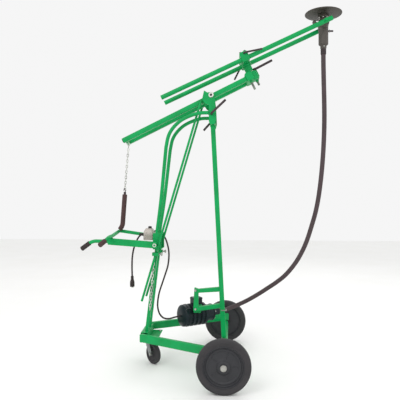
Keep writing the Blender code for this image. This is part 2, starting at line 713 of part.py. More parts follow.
# ---- Head ----
def make_head():
    head = head_centre()
    axis = Vector((HEAD_X, 0.0, 0.0))
    shoulder = DISC_TOP - 0.036
    casting = turned("head_casting", "disc_paint",
                     [(0.0, 1.6935), (0.0145, 1.6935), (0.0165, 1.700), (0.0165, 1.709),
                      (0.0255, 1.716), (0.0255, shoulder - 0.008), (0.021, shoulder),
                      (0.0, shoulder)],
                     axis, Z_AXIS, 20)
    half = UPPER_RAIL_Y - UPPER_RAIL_RADIUS - GAP
    barrel = rod("head_barrel_tool", "disc_paint", head - Y_AXIS * half, head + Y_AXIS * half,
                 0.021, 16)
    combine(casting, barrel, "UNION")
    drill(casting, "head_bolt_bore", head - Y_AXIS * 0.09, head + Y_AXIS * 0.09,
          HEAD_BOLT_RADIUS + RUNNING)
    carry("head_tilt_axis", head, [casting])
    hub_low = shoulder + GAP
    disc_low = DISC_TOP - 0.011
    edge_low = DISC_TOP - 0.006
    disc = turned("disc", "disc_paint",
                  [(0.0, hub_low), (0.016, hub_low), (0.016, hub_low + 0.011),
                   (0.030, hub_low + 0.014), (0.030, disc_low - 0.004), (0.046, disc_low),
                   (DISC_RADIUS - 0.003, edge_low), (DISC_RADIUS, edge_low + 0.002),
                   (DISC_RADIUS, DISC_TOP - 0.001), (DISC_RADIUS - 0.002, DISC_TOP),
                   (0.0, DISC_TOP)],
                  axis, Z_AXIS, 36)
    carry("disc_spin_axis", axis + Z_AXIS * DISC_TOP, [disc])


# ---- Hand lever and pull link ----
def make_lever():
    bar_end = Vector((LEVER_END_X, 0.0, 0.667))
    half_h = LEVER_BAR_HEIGHT / 2.0
    half_t = LEVER_BAR_THICK / 2.0
    nose = LEVER_PIVOT.x + 0.012
    outline = [(nose, LEVER_PIVOT.z - half_h), (nose, LEVER_PIVOT.z + half_h),
               (bar_end.x, bar_end.z + half_h), (bar_end.x, bar_end.z - half_h)]
    near_low = -LEVER_BAR_Y - half_t
    near_bar = slab("lever_bar_near", "green_paint", outline, near_low, near_low + 2 * half_t)
    wall = TUBE_WALL
    channel = [(nose + 0.01, LEVER_PIVOT.z - half_h + wall),
               (nose + 0.01, LEVER_PIVOT.z + half_h - wall),
               (bar_end.x - 0.01, bar_end.z + half_h - wall),
               (bar_end.x - 0.01, bar_end.z - half_h + wall)]
    combine(near_bar, slab("lever_channel_tool", "green_paint", channel, near_low + wall,
                           near_low + 2 * half_t + 0.01), "DIFFERENCE")
    drill(near_bar, "lever_near_bore", LEVER_PIVOT - Y_AXIS * 0.13, LEVER_PIVOT - Y_AXIS * 0.07,
          LEVER_BOLT_RADIUS + RUNNING)
    corner = Vector((-0.5315, LEVER_BAR_Y, 0.710))
    far_path = [LEVER_PIVOT + Vector((0.012, LEVER_BAR_Y, 0.0)),
                LEVER_PIVOT + Vector((-0.014, LEVER_BAR_Y, 0.001)),
                Vector((-0.345, LEVER_BAR_Y, 0.684)),
                Vector((corner.x + HANDLE_RADIUS + 0.0011, LEVER_BAR_Y, corner.z - 0.0007))]
    far_bar = round_tube("lever_bar_far", "green_paint", far_path, HANDLE_RADIUS)
    drill(far_bar, "lever_far_bore", LEVER_PIVOT + Y_AXIS * 0.07, LEVER_PIVOT + Y_AXIS * 0.13,
          LEVER_BOLT_RADIUS + RUNNING)
    bar_top = bar_end.z + half_h - 0.001
    rest_z = bar_top + HANDLE_RADIUS + 0.0010
    cross_tip = Vector((-0.555, -0.2225, 0.659))
    cross_bend = Vector((-0.538, -0.183, rest_z - 0.015))
    cross_path = [cross_tip, cross_bend, Vector((-0.530, -0.155, rest_z - 0.003)),
                  Vector((-0.529, -0.120, rest_z)), Vector((-0.529, -0.080, rest_z)),
                  corner + Vector((0.0, 0.012, 0.0))]
    cross_tube = round_tube("lever_cross_tube", "green_paint", cross_path, HANDLE_RADIUS,
                            across=Vector((1.0, 0.0, 0.0)))
    cross_grip = grip("cross_grip", cross_tip, cross_bend)
    rear = bar_end + Vector((-GAP, -LEVER_BAR_Y, 0.0))
    handle_bend = Vector((-0.640, -LEVER_BAR_Y, 0.661))
    handle_tip = Vector((GRIP_END_X, -LEVER_BAR_Y, 0.627))
    handle_path = [rear, Vector((-0.618, -LEVER_BAR_Y, 0.668)), handle_bend, handle_tip]
    handle = round_tube("front_handle", "green_paint", handle_path, HANDLE_RADIUS)
    front_grip = grip("front_grip", handle_tip, handle_bend)
    reach = LEVER_BAR_Y + half_t
    bolt = turned("lever_bolt", "bright_zinc",
                  [(0.0, -reach - 0.005), (0.009, -reach - 0.005), (0.009, -reach - GAP),
                   (LEVER_BOLT_RADIUS, -reach - GAP), (LEVER_BOLT_RADIUS, reach + GAP),
                   (0.009, reach + GAP), (0.009, reach + 0.005), (0.0, reach + 0.005)],
                  LEVER_PIVOT, Y_AXIS)
    carry("lever_axis", LEVER_PIVOT,
          [near_bar, far_bar, cross_tube, cross_grip, handle, front_grip])
    return bolt


def grip(name, tip, bend):
    """A rubber sleeve with a closed, rounded end, over a tube from its tip back to a bend."""
    run = (bend - tip).normalized()
    length = (bend - tip).length + GRIP_FLOOR - 0.005
    bore = round_outside(HANDLE_RADIUS + GAP)
    profile = [(0.0, 0.0), (GRIP_RADIUS * 0.75, 0.0), (GRIP_RADIUS, 0.004), (GRIP_RADIUS, length),
               (bore, length), (bore, GRIP_FLOOR - GAP), (0.0, GRIP_FLOOR - GAP)]
    return turned(name, "grip_rubber", profile, tip - run * GRIP_FLOOR, run)


GRIP_FLOOR = 0.0055
CROSS_TUBE_PLACE = Vector((-0.531, 0.0, 0.7066))
PULL_BAR_Y = 0.074
PULL_BAR_RADIUS = 0.0135
PULL_BAR_CLEARANCE = 0.0055


def make_pull_link():
    """A chain on the boom's tail bar, and a sleeved hand bar that reaches down to the lever."""
    top = boom_point(-LOWER_TAIL + 0.016, 0.0, 0.0)
    chain_y = 0.030
    chain_top = top + Y_AXIS * chain_y - Z_AXIS * (TAIL_BAR_RADIUS + GAP)
    bar_top = Vector((-0.494, PULL_BAR_Y, 0.930))
    stub = Z_AXIS * 0.008
    chain = sweep("pull_chain", "bright_zinc",
                  [chain_top, chain_top - stub, bar_top + stub, bar_top + Z_AXIS * GAP],
                  rectangle(0.006, 0.010))
    knee = Vector((-0.507, PULL_BAR_Y, 0.742))
    tube = CROSS_TUBE_PLACE + Y_AXIS * PULL_BAR_Y
    foot = tube + (knee - tube).normalized() * (HANDLE_RADIUS + PULL_BAR_CLEARANCE)
    link = round_tube("pull_bar", "grip_rubber",
                      [bar_top, bar_top - Z_AXIS * 0.012, knee, foot], PULL_BAR_RADIUS)
    carry("pull_link_axis", top, [chain, link])


# ---- Switch box, motor and cradle ----
def make_switch_box():
    x0, x1 = HEAD_BOX_X[0] - GAP - 0.058, HEAD_BOX_X[0] - GAP
    outline = [(x0, 0.668), (x1, 0.668), (x1, 0.722), (x1 - 0.012, 0.731), (x0 + 0.026, 0.731),
               (x0 + 0.010, 0.722), (x0, 0.708)]
    box = slab("switch_box", "cast_grey", outline, -0.030, 0.030)
    centre = Vector(((x0 + x1) / 2.0 + 0.004, 0.0, 0.731 + GAP))
    knob = turned("switch_knob", "black_paint",
                  [(0.0, 0.0), (0.011, 0.0), (0.010, 0.009), (0.007, 0.0115), (0.0, 0.0115)],
                  centre, Z_AXIS)
    carry("switch_knob_axis", centre, [knob])
    return box


def make_motor():
    axis = (MOTOR_BACK - MOTOR_FRONT).normalized()
    bell_end = 0.030
    turned("motor_end_bell", "motor_paint",
           [(0.0, 0.0), (0.030, 0.0), (0.052, 0.006), (MOTOR_RADIUS - 0.002, 0.016),
            (MOTOR_RADIUS - 0.002, bell_end), (0.0, bell_end)], MOTOR_FRONT, axis, 20)
    start = bell_end + GAP
    turned("motor_housing", "motor_paint",
                     [(0.0, start), (MOTOR_RADIUS, start), (MOTOR_RADIUS, 0.145),
            (MOTOR_RADIUS - 0.008, 0.155), (0.0, 0.155)], MOTOR_FRONT, axis, 20)
    turned("gear_case", "motor_paint",
           [(0.0, 0.155 + GAP), (0.048, 0.155 + GAP), (0.048, 0.205), (0.030, 0.216),
            (0.022, 0.218), (0.022, 0.250), (0.0, 0.250)], MOTOR_FRONT, axis, 16)
    leg_face = LEG_WIDTH / 2.0
    near_y, far_y = -leg_face, leg_face
    strap = [(0.0392, 0.414), (-0.072, 0.4025), (-0.094, 0.410), (-0.100, 0.2835),
             (-0.0735, 0.2835), (0.0452, 0.302), (0.0440, 0.325), (-0.0720, 0.306),
             (-0.0715, 0.3825), (0.0404, 0.390)]
    slab("motor_cradle", "green_paint", strap, near_y, far_y)
    saddle = block("motor_saddle", "green_paint", (-0.099, far_y + GAP, 0.268),
                   (-0.060, 0.115, 0.2955))
    tool = rod("saddle_tool", "green_paint", MOTOR_FRONT - axis * 0.01,
               MOTOR_FRONT + axis * 0.20, MOTOR_RADIUS + GAP, 20)
    combine(saddle, tool, "DIFFERENCE")


# ---- Flexible shaft and cords ----
def make_cords():
    axis = (MOTOR_BACK - MOTOR_FRONT).normalized()
    outlet = MOTOR_FRONT + axis * (0.250 + GAP)
    shaft_end = Vector((HEAD_X, 0.0, 1.6935 - GAP))
    cord("flexible_shaft", "cord_rubber",
         [outlet, outlet + axis * 0.045, (0.140, 0.249, 0.262), (0.200, 0.247, 0.291),
          (0.258, 0.232, 0.328), (0.315, 0.207, 0.371), (0.368, 0.182, 0.413),
          (0.414, 0.158, 0.457), (0.458, 0.137, 0.515), (0.493, 0.118, 0.577),
          (0.524, 0.100, 0.652), (0.549, 0.084, 0.738), (0.569, 0.070, 0.818),
          (0.583, 0.058, 0.900), (0.594, 0.044, 1.003), (0.601, 0.030, 1.110),
          (0.605, 0.020, 1.215), (0.606, 0.012, 1.320), (0.604, 0.006, 1.420),
          (0.601, 0.002, 1.520), (0.599, 0.0, 1.600), (HEAD_X, 0.0, 1.645), shaft_end],
         SHAFT_RADIUS)
    box_left = HEAD_BOX_X[0] - GAP - 0.058
    cord("power_cord", "cord_rubber",
         [(box_left - GAP, 0.0, 0.696), (-0.386, 0.0, 0.696), (-0.405, 0.0, 0.676),
          (-0.425, 0.0, 0.630), (-0.435, 0.0, 0.582), (-0.438, 0.0, 0.531),
          (-0.437, 0.0, 0.4695)], CORD_RADIUS)
    turned("plug", "grip_rubber",
           [(0.0, 0.0), (0.012, 0.0), (0.014, -0.004), (0.014, -0.028), (0.0085, -0.050),
            (0.007, -0.066), (0.0, -0.066)],
           Vector((-0.4365, 0.0, 0.4030)), -1.0 * Z_AXIS)
    bell = MOTOR_FRONT - axis * GAP
    cord("motor_cord", "cord_rubber",
         [(box_left + 0.030, 0.030 + GAP, 0.700), (box_left + 0.030, 0.054, 0.700),
          (box_left + 0.052, 0.078, 0.712), (-0.290, 0.094, 0.700), (-0.266, 0.104, 0.664),
          (-0.251, 0.107, 0.612), (-0.247, 0.102, 0.566), (-0.252, 0.096, 0.515),
          (-0.265, 0.090, 0.470), (-0.281, 0.082, 0.420), (-0.296, 0.072, 0.372),
          (-0.304, 0.062, 0.325), (-0.303, 0.052, 0.285), (-0.290, 0.040, 0.252),
          (-0.266, 0.030, 0.233), (-0.236, 0.0305, 0.230), (-0.207, 0.041, 0.236),
          bell], CORD_RADIUS)


def make_all():
    clear_scene()
    make_base()
    for side in (NEAR, FAR):
        make_wheel(side)
    make_caster()
    make_mast()
    make_top()
    make_bracket_crank()
    make_lower_boom()
    make_stay_rod()
    make_swivel_block()
    make_upper_boom()
    make_head()
    make_lever()
    make_pull_link()
    make_switch_box()
    make_motor()
    make_cords()
    bpy.context.view_layer.update()


make_all()
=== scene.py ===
"""A wheeled boom stand with a counter-pull lever, a flexible shaft and a spinning disc head.

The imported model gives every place. Each new piece is a surface worked out from two
parameters: once round a section, and once along a path or a profile. Metres, +Z up.
"""

import json

import bmesh
import bpy
import numpy as np
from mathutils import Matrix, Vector

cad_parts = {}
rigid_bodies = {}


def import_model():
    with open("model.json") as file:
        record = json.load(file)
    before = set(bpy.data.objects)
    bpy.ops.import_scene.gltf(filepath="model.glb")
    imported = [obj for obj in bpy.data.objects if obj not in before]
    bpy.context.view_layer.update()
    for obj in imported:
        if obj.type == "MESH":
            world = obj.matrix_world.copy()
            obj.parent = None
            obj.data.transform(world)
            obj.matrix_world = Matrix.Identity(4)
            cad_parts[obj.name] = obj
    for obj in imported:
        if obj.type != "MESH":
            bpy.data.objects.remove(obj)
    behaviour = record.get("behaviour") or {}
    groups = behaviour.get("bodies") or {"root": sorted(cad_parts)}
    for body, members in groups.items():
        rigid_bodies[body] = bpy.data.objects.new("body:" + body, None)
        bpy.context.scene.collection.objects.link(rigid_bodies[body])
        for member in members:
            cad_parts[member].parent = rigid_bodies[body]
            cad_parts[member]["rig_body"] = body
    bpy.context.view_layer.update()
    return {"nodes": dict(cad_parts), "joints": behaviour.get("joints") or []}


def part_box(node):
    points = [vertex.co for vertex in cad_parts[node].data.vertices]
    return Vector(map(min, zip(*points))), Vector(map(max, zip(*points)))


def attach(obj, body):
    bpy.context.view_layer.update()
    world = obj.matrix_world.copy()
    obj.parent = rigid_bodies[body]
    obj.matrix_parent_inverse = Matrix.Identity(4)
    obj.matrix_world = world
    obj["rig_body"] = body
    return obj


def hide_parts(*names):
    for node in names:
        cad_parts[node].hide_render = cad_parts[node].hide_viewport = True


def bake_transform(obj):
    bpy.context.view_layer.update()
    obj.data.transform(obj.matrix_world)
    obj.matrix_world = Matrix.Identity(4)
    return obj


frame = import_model()
JOINTS = {joint["name"]: joint for joint in frame["joints"]}

X = np.array([1.0, 0.0, 0.0])
Y = np.array([0.0, 1.0, 0.0])
Z = np.array([0.0, 0.0, 1.0])
SIDES = (("near", -1.0), ("far", 1.0))


# ---- Places taken from the frame ----
def low(node):
    """The lowest corner of a node's box."""
    return np.array(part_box(node)[0])


def high(node):
    """The highest corner of a node's box."""
    return np.array(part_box(node)[1])


def middle(node):
    """The centre of a node's box."""
    return (low(node) + high(node)) / 2.0


def pivot(joint):
    """A joint's own point."""
    return np.array(JOINTS[joint]["pos_m"])


def unit(v):
    """A vector over its own length."""
    v = np.asarray(v, float)
    return v / np.linalg.norm(v, axis=-1, keepdims=True)


BOOM = pivot("boom_tilt")
BOOM_UP = unit(JOINTS["boom_swivel"]["axis"])
BOOM_ALONG = np.array([BOOM_UP[2], 0.0, -BOOM_UP[0]])
UPPER_ALONG = unit(JOINTS["boom_extend"]["axis"])
HEAD = pivot("head_tilt")


def on_boom(along, across, above):
    """A place from the boom's pivot: along it, across it, and square up from it."""
    return BOOM + BOOM_ALONG * along + Y * across + BOOM_UP * above


def rail_ends(node, along, half):
    """A straight rail's two ends: its box's corners, brought in by the rail's own half height."""
    lo, hi = low(node), high(node)
    y = (lo[1] + hi[1]) / 2.0
    inset = np.array([half * along[2], 0.0, half * along[0]])
    return np.array([lo[0], y, lo[2]]) + inset, np.array([hi[0], y, hi[2]]) - inset


# ---- Surfaces ----
SHARP_DEGREES = 38.0


def ring_angles(sides):
    """Even turns round a full circle, from zero."""
    return np.arange(sides) * 2.0 * np.pi / sides


def circle(radius, sides=28):
    """A circle's section: radius times the cosine and sine of an even turn."""
    turn = ring_angles(sides)
    return radius * np.stack([np.cos(turn), np.sin(turn)], axis=1)


def rounded_rectangle(width, height, corner, steps=5):
    """Four quarter circles, each about its own corner's centre, joined by straight sides."""
    turn = np.linspace(0.0, np.pi / 2.0, steps)
    arc = corner * np.stack([np.cos(turn), np.sin(turn)], axis=1)
    sets = []
    for quarter, (sx, sy) in enumerate(((1, 1), (-1, 1), (-1, -1), (1, -1))):
        c, s = np.cos(quarter * np.pi / 2.0), np.sin(quarter * np.pi / 2.0)
        centre = np.array([sx * (width / 2.0 - corner), sy * (height / 2.0 - corner)])
        sets.append(centre + arc @ np.array([[c, s], [-s, c]]))
    return np.concatenate(sets)


def bent(points, bend):
    """A polyline whose corners are parabolas between points one bend length each side."""
    points = np.asarray(points, float)
    t = np.linspace(0.0, 1.0, 9)[:, None]
    runs = [points[:1]]
    for before, corner, after in zip(points, points[1:], points[2:]):
        reach = min(bend, 0.49 * np.linalg.norm(before - corner),
                    0.49 * np.linalg.norm(after - corner))
        start = corner + unit(before - corner) * reach
        end = corner + unit(after - corner) * reach
        runs.append((1 - t) ** 2 * start + 2 * t * (1 - t) * corner + t**2 * end)
    runs.append(points[-1:])
    return np.concatenate(runs)


def flowing(points, count):
    """An even Catmull-Rom curve: each point is a cubic of its four nearest knots."""
    knots = np.asarray(points, float)
    knots = np.concatenate([2 * knots[:1] - knots[1:2], knots, 2 * knots[-1:] - knots[-2:-1]])
    where = np.linspace(0.0, len(knots) - 3 - 1e-9, 40 * len(knots))
    k = where.astype(int)
    t = (where - k)[:, None]
    a, b, c, d = knots[k], knots[k + 1], knots[k + 2], knots[k + 3]
    fine = 0.5 * (2 * b + (c - a) * t + (2 * a - 5 * b + 4 * c - d) * t**2
                  + (3 * b - a - 3 * c + d) * t**3)
    run = np.concatenate([[0.0], np.cumsum(np.linalg.norm(np.diff(fine, axis=0), axis=1))])
    even = np.linspace(0.0, run[-1], count)
    return np.stack([np.interp(even, run, fine[:, axis]) for axis in range(3)], axis=1)


def carried(path, section, across, scale=None):
    """Rings: the section set square to the path's direction, times a scale along it."""
    path = np.asarray(path, float)
    ahead = unit(np.gradient(path, axis=0))
    side = unit(across - ahead * (ahead @ across)[:, None])
    rise = np.cross(ahead, side)
    size = np.ones(len(path)) if scale is None else np.asarray(scale, float)
    a = (section[None, :, 0] * size[:, None])[..., None]
    b = (section[None, :, 1] * size[:, None])[..., None]
    return path[:, None, :] + side[:, None, :] * a + rise[:, None, :] * b


def turned_rings(profile, centre, axis, sides, ripple=None):
    """Rings: a (radius, height) profile turned about the axis, times an optional ripple."""
    profile = np.asarray(profile, float)
    axis = unit(axis)
    side = unit(np.cross(axis, X if abs(axis[0]) < 0.9 else Z))
    other = np.cross(axis, side)
    turn = ring_angles(sides)
    spoke = side * np.cos(turn)[:, None] + other * np.sin(turn)[:, None]
    reach = profile[:, :1] * (np.ones(sides) if ripple is None else ripple(turn))
    return centre + axis * profile[:, 1, None, None] + spoke[None] * reach[..., None]


def shell(name, rings, finish, body, hidden=(), closed=False):
    """A closed mesh on a grid of rings: quads between rings, and either a face on each end
    ring or quads from the last ring back to the first."""
    rows, sides = rings.shape[:2]
    index = np.arange(rows * sides).reshape(rows, sides)
    first = index if closed else index[:-1]
    second = np.roll(index, -1, axis=0) if closed else index[1:]
    quads = np.stack([first, np.roll(first, -1, axis=1), np.roll(second, -1, axis=1), second],
                     axis=-1).reshape(-1, 4)
    faces = quads.tolist()
    if not closed:
        faces += [index[0].tolist(), index[-1].tolist()]
    mesh = bpy.data.meshes.new(name)
    mesh.from_pydata(rings.reshape(-1, 3).tolist(), [], faces)
    work = bmesh.new()
    work.from_mesh(mesh)
    # Points at a pole or a seam fall together, so they are made one.
    bmesh.ops.remove_doubles(work, verts=work.verts, dist=1e-6)
    bmesh.ops.dissolve_degenerate(work, edges=work.edges, dist=1e-7)
    bmesh.ops.recalc_face_normals(work, faces=work.faces)
    work.to_mesh(mesh)
    work.free()
    return settle(name, mesh, finish, body, hidden)


def settle(name, mesh, finish, body, hidden=()):
    """Shades a mesh, gives it its finish, and has it ride on its body."""
    mesh.shade_smooth()
    mesh.set_sharp_from_angle(angle=np.radians(SHARP_DEGREES))
    mesh.materials.clear()
    mesh.materials.append(finish)
    piece = bpy.data.objects.new(name, mesh)
    bpy.context.scene.collection.objects.link(piece)
    if body:
        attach(piece, body)
    if hidden:
        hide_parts(*hidden)
    return piece


def turned(name, profile, centre, axis, finish, body, hidden=(), sides=40, ripple=None,
           closed=False):
    """A turned piece: its profile's radii and heights swept once round the axis."""
    rings = turned_rings(profile, centre, axis, sides, ripple)
    return shell(name, rings, finish, body, hidden, closed)


def bar(name, path, section, finish, body, hidden=(), across=Y, wall=None, ease=0.0012):
    """A section carried along a path: solid with eased ends, or an open tube with a wall."""
    path = np.asarray(path, float)
    reach = np.abs(section).max()
    if wall is not None:
        outer = carried(path, section, across)
        inner = carried(path, section * (1.0 - wall / reach), across)
        rings = np.concatenate([outer, inner[::-1]])
        return shell(name, rings, finish, body, hidden, closed=True)
    lead = unit(path[1] - path[0]) * ease
    tail = unit(path[-2] - path[-1]) * ease
    path = np.concatenate([path[:1], path[:1] + lead, path[1:-1], path[-1:] + tail, path[-1:]])
    scale = np.ones(len(path))
    scale[[0, -1]] = 1.0 - ease / reach
    return shell(name, carried(path, section, across, scale), finish, body, hidden)


def eased(node, finish, width=0.0012):
    """A copy of a CAD solid: merged, its flat faces joined, and its edges rounded."""
    source = frame["nodes"][node]
    mesh = source.data.copy()
    work = bmesh.new()
    work.from_mesh(mesh)
    bmesh.ops.remove_doubles(work, verts=work.verts, dist=2e-5)
    bmesh.ops.dissolve_limit(work, angle_limit=np.radians(1.5), verts=work.verts,
                             edges=work.edges, delimit=set())
    work.to_mesh(mesh)
    work.free()
    piece = settle(node + "_eased", mesh, finish, source["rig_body"], (node,))
    bevel = piece.modifiers.new("rounded_edges", "BEVEL")
    bevel.width = width
    bevel.segments = 2
    bevel.limit_method = "ANGLE"
    bevel.angle_limit = np.radians(35.0)
    bevel.harden_normals = True
    return piece


# ---- Materials ----
def linear(code):
    """sRGB hex to linear: below 0.04045 a plain ratio, above it the 2.4 power curve."""
    value = np.array([int(code[k : k + 2], 16) for k in (1, 3, 5)]) / 255.0
    value = np.where(value <= 0.04045, value / 12.92, ((value + 0.055) / 1.055) ** 2.4)
    return (*[float(v) for v in value], 1.0)


def add(tree, kind, settings=None, links=None, **values):
    """Adds a node: its own settings, its sockets' values, and what its sockets link from."""
    node = tree.nodes.new(kind)
    for key, value in (settings or {}).items():
        setattr(node, key, value)
    for key, value in values.items():
        node.inputs[key.replace("_", " ")].default_value = value
    for key, source in (links or {}).items():
        tree.links.new(source, node.inputs[key])
    return node


def start_material(name, **constants):
    """A material with its constants set on the shader, and Object coordinates."""
    material = bpy.data.materials.new(name)
    material.use_nodes = True
    tree = material.node_tree
    shader = tree.nodes["Principled BSDF"]
    for key, value in constants.items():
        shader.inputs[key.replace("_", " ")].default_value = value
    where = add(tree, "ShaderNodeTexCoord")
    return material, tree, shader, where.outputs["Object"]


def blotches(tree, where, scale, detail=4.0):
    """Cloudy noise whose patches are about one over the scale across, in metres."""
    return add(tree, "ShaderNodeTexNoise", {}, {"Vector": where}, Scale=scale,
               Detail=detail, Roughness=0.55).outputs["Fac"]


def ramp(tree, source, stops):
    """A value turned to colours, each at its own place from 0 to 1."""
    node = add(tree, "ShaderNodeValToRGB", {}, {"Fac": source})
    first, last = node.color_ramp.elements[0], node.color_ramp.elements[1]
    for element, (place, colour) in zip((first, last), (stops[0], stops[-1])):
        element.position = place
        element.color = colour
    for place, colour in stops[1:-1]:
        node.color_ramp.elements.new(place).color = colour
    return node.outputs["Color"]


def between(tree, source, lowest, highest):
    """Noise from 0.3 to 0.7 stretched to run between two values."""
    node = add(tree, "ShaderNodeMapRange", {}, {"Value": source})
    node.inputs["From Min"].default_value = 0.3
    node.inputs["From Max"].default_value = 0.7
    node.inputs["To Min"].default_value = lowest
    node.inputs["To Max"].default_value = highest
    return node.outputs["Result"]


def bump(tree, shader, height, distance, strength=1.0):
    """A height in metres that tilts the shading."""
    node = add(tree, "ShaderNodeBump", {}, {"Height": height}, Strength=strength,
               Distance=distance)
    tree.links.new(node.outputs["Normal"], shader.inputs["Normal"])


def enamel(name, base, shade, dull, peel):
    """Stove enamel sprayed on steel tube: an even glossy coat with a fine orange peel of
    about 2 mm, cloudy where it lies thinner, and duller where hands rub it."""
    material, tree, shader, where = start_material(name, Specular_IOR_Level=0.22,
                                                   Coat_Weight=0.04, Coat_Roughness=0.15)
    cloud = blotches(tree, where, 14.0)
    tree.links.new(ramp(tree, cloud, [(0.3, linear(shade)), (0.62, linear(base))]),
                   shader.inputs["Base Color"])
    tree.links.new(between(tree, blotches(tree, where, 45.0), dull - 0.06, dull + 0.1),
                   shader.inputs["Roughness"])
    bump(tree, shader, blotches(tree, where, 480.0, 2.0), peel, 0.5)
    return material


def rubber(name, base, worn, grain_mm):
    """Moulded black rubber: matte, with a pebbled grain and a grey bloom of dust."""
    material, tree, shader, where = start_material(name, Specular_IOR_Level=0.22)
    dust = blotches(tree, where, 22.0)
    tree.links.new(ramp(tree, dust, [(0.38, linear(base)), (0.72, linear(worn))]),
                   shader.inputs["Base Color"])
    tree.links.new(between(tree, dust, 0.62, 0.85), shader.inputs["Roughness"])
    bump(tree, shader, blotches(tree, where, 1000.0 / grain_mm, 2.0), 0.0003, 0.5)
    return material


def bare_metal(name, base, dark, roughness, grain):
    """Zinc-plated or machined steel: a metal with fine scratches and darker smudges."""
    material, tree, shader, where = start_material(name, Metallic=1.0)
    stretch = add(tree, "ShaderNodeMapping", {}, {"Vector": where}, Scale=(1.0, 1.0, grain))
    scratch = blotches(tree, stretch.outputs["Vector"], 260.0, 3.0)
    smudge = blotches(tree, where, 38.0)
    tree.links.new(ramp(tree, smudge, [(0.32, linear(dark)), (0.6, linear(base))]),
                   shader.inputs["Base Color"])
    tree.links.new(between(tree, scratch, roughness - 0.08, roughness + 0.14),
                   shader.inputs["Roughness"])
    bump(tree, shader, scratch, 0.00025, 0.6)
    return material


def cast_metal(name, base, dark, metallic, roughness):
    """Sand-cast metal under a thin paint: a rough skin of about 1.5 mm with dark pits."""
    material, tree, shader, where = start_material(name, Metallic=metallic)
    skin = blotches(tree, where, 420.0, 5.0)
    patch = blotches(tree, where, 30.0)
    tree.links.new(ramp(tree, patch, [(0.3, linear(dark)), (0.66, linear(base))]),
                   shader.inputs["Base Color"])
    tree.links.new(between(tree, skin, roughness - 0.08, roughness + 0.12),
                   shader.inputs["Roughness"])
    bump(tree, shader, skin, 0.0006, 0.6)
    return material


def moulded_plastic(name, base, light):
    """Injection-moulded nylon: an even satin skin with a faint spark-eroded grain."""
    material, tree, shader, where = start_material(name, Specular_IOR_Level=0.3)
    tree.links.new(ramp(tree, blotches(tree, where, 9.0), [(0.3, linear(base)),
                                                           (0.7, linear(light))]),
                   shader.inputs["Base Color"])
    grain = blotches(tree, where, 900.0, 1.0)
    tree.links.new(between(tree, grain, 0.42, 0.56), shader.inputs["Roughness"])
    bump(tree, shader, grain, 0.0002)
    return material


def ribbed_hose(name, base, light):
    """Extruded sheath over a wound shaft: matte rubber with shallow rings 6 mm apart."""
    material, tree, shader, where = start_material(name, Specular_IOR_Level=0.25)
    uv = add(tree, "ShaderNodeUVMap", {"uv_map": "along"}).outputs["UV"]
    rings = add(tree, "ShaderNodeTexWave", {"bands_direction": "Y", "wave_profile": "SIN"},
                {"Vector": uv}, Scale=1.0 / 0.006 / 20.0 * 6.2832, Distortion=0.0)
    dust = blotches(tree, where, 17.0)
    tree.links.new(ramp(tree, dust, [(0.35, linear(base)), (0.7, linear(light))]),
                   shader.inputs["Base Color"])
    tree.links.new(between(tree, dust, 0.5, 0.7), shader.inputs["Roughness"])
    bump(tree, shader, rings.outputs["Fac"], 0.0008, 0.5)
    return material


def turned_face(name, base, light):
    """A lathe-turned, dulled steel disc: fine rings about its axis, 3 mm apart to show."""
    material, tree, shader, where = start_material(name, Metallic=0.35)
    shift = add(tree, "ShaderNodeMapping", {}, {"Vector": where}, Location=(-HEAD[0], 0.0, 0.0))
    rings = add(tree, "ShaderNodeTexWave", {"wave_type": "RINGS", "rings_direction": "Z"},
                {"Vector": shift.outputs["Vector"]}, Scale=1.0 / 0.003 / 20.0 * 6.2832,
                Distortion=0.6)
    patch = blotches(tree, where, 26.0)
    tree.links.new(ramp(tree, patch, [(0.3, linear(base)), (0.7, linear(light))]),
                   shader.inputs["Base Color"])
    tree.links.new(between(tree, rings.outputs["Fac"], 0.4, 0.55), shader.inputs["Roughness"])
    bump(tree, shader, rings.outputs["Fac"], 0.0003, 0.5)
    return material


GREEN = enamel("green_stove_enamel", "#009E53", "#048F49", 0.4, 0.0003)
BLACK = enamel("black_brown_enamel", "#41373A", "#332B2D", 0.45, 0.0002)
MOTOR = enamel("blue_black_motor_enamel", "#17262C", "#0F1B20", 0.36, 0.0004)
TYRE = rubber("tyre_rubber", "#383739", "#424042", 2.5)
GRIP = rubber("grip_rubber", "#352F2F", "#413937", 2.0)
SLEEVE = rubber("brown_sleeve_rubber", "#4A3637", "#563F3E", 2.0)
CORD = rubber("cord_rubber", "#3A3234", "#463D3E", 2.0)
HOSE = ribbed_hose("neoprene_hose_sheath", "#453A3C", "#504447")
ZINC = bare_metal("zinc_plated_steel", "#B9B8B2", "#8E8E89", 0.32, 0.25)
WHITE = bare_metal("pale_zinc_collar", "#E4E4DF", "#CFCFC9", 0.5, 1.0)
STUD = bare_metal("grey_green_stud_steel", "#8B938A", "#6C736B", 0.5, 0.5)
BRIGHT = bare_metal("bright_chain_steel", "#E2E2DD", "#B5B5B0", 0.3, 1.0)
BOX_CAST = cast_metal("grey_die_cast_box", "#C2B8B1", "#A69C96", 0.1, 0.42)
CASTER_CAST = cast_metal("grey_caster_fork", "#8C9090", "#5C6060", 0.7, 0.35)
HEAD_CAST = cast_metal("brown_grey_head_casting", "#524C47", "#443E3A", 0.1, 0.5)
WHEEL = moulded_plastic("black_wheel_nylon", "#2E2F33", "#38383B")
KNOB = moulded_plastic("black_knob_phenolic", "#2A2626", "#352F2F")
DISC = turned_face("dulled_disc_steel", "#3D3833", "#4A453F")
# SHADOW is painted shadow: a near-black that stands for the dark inside the bell's vent slots.
SHADOW = moulded_plastic("painted_vent_shadow", "#141414", "#1B1A1A")


